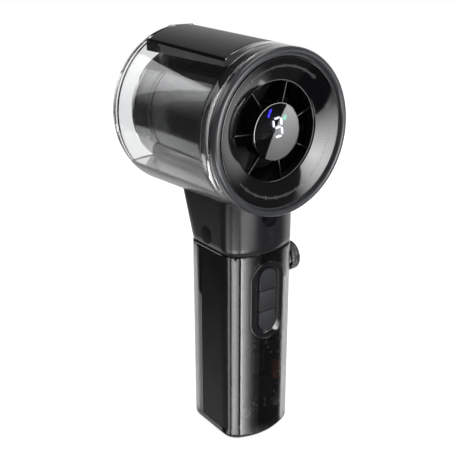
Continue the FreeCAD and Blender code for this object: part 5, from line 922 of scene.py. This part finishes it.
def direction_of(heading, rise):
    """The unit vector for a heading from +Y towards +X and an angle above the floor."""
    turn, lift = math.radians(heading), math.radians(rise)
    return Vector((math.sin(turn) * math.cos(lift), math.cos(turn) * math.cos(lift), math.sin(lift)))


def stage():
    """Plain pale floor that keeps the shadow, and that mirrored rays pass."""
    rim = arc((0, 0), FLOOR_RADIUS, 0, 360, FLOOR_SIDES)[:-1]
    floor = mesh_object("floor", at_height(rim, -FLOOR_DROP), [tuple(range(FLOOR_SIDES))])
    material = bpy.data.materials.new("floor")
    material.use_nodes = True
    nodes, links = material.node_tree.nodes, material.node_tree.links
    nodes.clear()
    straight, mirrored = ray_kind(nodes, links)
    matt = nodes.new("ShaderNodeBsdfDiffuse")
    matt.inputs["Color"].default_value = (FLOOR_GREY, FLOOR_GREY, FLOOR_GREY, 1)
    lit = nodes.new("ShaderNodeEmission")
    links.new(math_node(nodes, links, "MULTIPLY", straight, FLOOR_LIFT), lit.inputs["Strength"])
    both = nodes.new("ShaderNodeAddShader")
    links.new(matt.outputs["BSDF"], both.inputs[0])
    links.new(lit.outputs["Emission"], both.inputs[1])
    passed = nodes.new("ShaderNodeBsdfTransparent")
    out = nodes.new("ShaderNodeOutputMaterial")
    surface = mixed(nodes, links, mirrored, both.outputs["Shader"], passed.outputs["BSDF"])
    links.new(surface, out.inputs["Surface"])
    floor.data.materials.append(material)


def studio():
    """White backdrop, and the plain light that the matt surfaces get."""
    world = bpy.data.worlds.new("studio")
    bpy.context.scene.world = world
    world.use_nodes = True
    nodes, links = world.node_tree.nodes, world.node_tree.links
    nodes.clear()
    straight, mirrored = ray_kind(nodes, links)
    place = nodes.new("ShaderNodeTexCoord")
    toward = nodes.new("ShaderNodeVectorMath")
    toward.operation = "DOT_PRODUCT"
    toward.inputs[1].default_value = direction_of(*BACKDROP_MIDDLE)
    links.new(place.outputs["Generated"], toward.inputs[0])
    behind = map_node(nodes, links, toward.outputs["Value"], BACKDROP_EDGE, (BACKDROP_DARK, 1.0), smooth=True)
    shaders = []
    for strength in (PLAIN_LIGHT, behind, 1.0):
        shader = nodes.new("ShaderNodeBackground")
        shader.inputs["Color"].default_value = (1, 1, 1, 1)
        if isinstance(strength, float):
            shader.inputs["Strength"].default_value = strength
        else:
            links.new(strength, shader.inputs["Strength"])
        shaders.append(shader.outputs["Background"])
    room = mixed(nodes, links, mirrored, shaders[0], shaders[1])
    out = nodes.new("ShaderNodeOutputWorld")
    links.new(mixed(nodes, links, straight, room, shaders[2]), out.inputs["Surface"])


def softbox(name, heading, rise, distance, span, tall, levels, target=(0, 0, HEAD), roll=0.0,
            peak=(0.0, 0.0), reach=None, fall=1.0, upright=False):
    """A soft panel that faces a target, brightest at its peak. Its sizes and distances are metres.

    Seen from the target, x grows with the heading and y grows upwards. The level falls from the
    second to the first of levels over the reach, in a line or, with a higher fall, ever less.
    An upright panel falls sideways only."""
    half, high = span / 2 / MM, tall / 2 / MM
    piece = mesh_object(name, [(-half, -high, 0), (half, -high, 0), (half, high, 0), (-half, high, 0)],
                        [(0, 1, 2, 3)])
    aim = Vector(target) * MM
    piece.location = aim + direction_of(heading, rise) * distance
    facing = (piece.location - aim).to_track_quat("-Z", "Y").to_matrix()
    piece.rotation_euler = (facing @ Matrix.Rotation(math.radians(roll), 3, "Z")).to_euler()
    material = bpy.data.materials.new(name)
    material.use_nodes = True
    nodes, links = material.node_tree.nodes, material.node_tree.links
    nodes.clear()
    place = nodes.new("ShaderNodeTexCoord")
    away = nodes.new("ShaderNodeVectorMath")
    away.operation = "DISTANCE"
    away.inputs[1].default_value = (peak[0], 0 if upright else peak[1], 0)
    spread = nodes.new("ShaderNodeVectorMath")
    spread.operation = "MULTIPLY"
    spread.inputs[1].default_value = (1, 0 if upright else 1, 0)
    links.new(place.outputs["Object"], spread.inputs[0])
    links.new(spread.outputs["Vector"], away.inputs[0])
    near = map_node(nodes, links, away.outputs["Value"], (0.0, reach or math.hypot(span, tall)), (1.0, 0.0))
    level = map_node(nodes, links, math_node(nodes, links, "POWER", near, fall), (0.0, 1.0), levels)
    lit = nodes.new("ShaderNodeEmission")
    links.new(level, lit.inputs["Strength"])
    out = nodes.new("ShaderNodeOutputMaterial")
    links.new(lit.outputs["Emission"], out.inputs["Surface"])
    piece.data.materials.append(material)
    piece.visible_camera = False
    piece.visible_shadow = False
    return piece


def lamps():
    """Soft panels and one dark screen, placed where the photographed reflections come from."""
    far, low = LAMPS_AWAY, (0, 0, -485)
    softbox("front_box", 190, -1.5, far, 1.56, 0.80, (0.2, 6.6), peak=(-0.14, 0.165), reach=0.6)
    softbox("left_strip", -25, 14, far, 0.36, 0.66, (0.05, 2.2), peak=(0.0, 0.33), reach=0.6, fall=1.3)
    softbox("top_box", 20, 78, far, 0.7, 0.5, (0.8, 2.5))
    softbox("lens_box", 147, -10.3, 0.7, 0.172, 0.247, (0.2, 9.0), roll=31, peak=(-0.086, -0.09),
            reach=0.22, fall=2)
    softbox("low_back", 5, -55, far, 1.3, 1.0, (0.8, 0.8))
    softbox("low_left", -91.5, 0, far, 0.366, 0.53, (1.8, 1.8), target=low)
    softbox("low_corner", -132, 0, far, 0.69, 0.462, (1.4, 4.6), target=(0, 0, -519), peak=(0.11, 0),
            reach=0.45, upright=True)
    softbox("low_front", 178.5, 0, far, 0.62, 0.53, (0.15, 8.0), target=low, peak=(0.31, 0), reach=0.6,
            fall=3, upright=True)
    softbox("low_right", 101, 0, 0.32, 0.05, 0.15, (1.8, 1.8), target=(0, 0, -137))
    screen = softbox("dark_screen", 180, 0, 0.095, 0.048, 0.056, (0.0, 0.0), target=(32, 0, 90))
    screen.visible_diffuse = False


def camera():
    """The photographed view."""
    data = bpy.data.cameras.new("view")
    data.sensor_width = FILM_WIDTH
    data.lens = FILM_WIDTH * FOCAL_PIXELS / FRAME_PIXELS
    data.dof.use_dof = False
    data.clip_start = 0.01
    view = bpy.data.objects.new("view", data)
    bpy.context.scene.collection.objects.link(view)
    view.location = Vector(CAMERA_PLACE) * MM
    view.rotation_euler = (math.radians(90 - CAMERA_DIP), 0, math.radians(-CAMERA_HEADING))
    bpy.context.scene.camera = view


def build():
    """Make every piece, then the studio round them."""
    dress_frame()
    bezel()
    cone()
    collar()
    grille()
    lens()
    digit()
    tank()
    tank_end()
    lid()
    duct()
    belly()
    neck()
    lamp_window()
    shell()
    panels()
    foot()
    keypad()
    knob()
    board_parts()
    stage()
    studio()
    lamps()
    camera()
    bpy.context.scene.view_settings.view_transform = "Standard"


build()
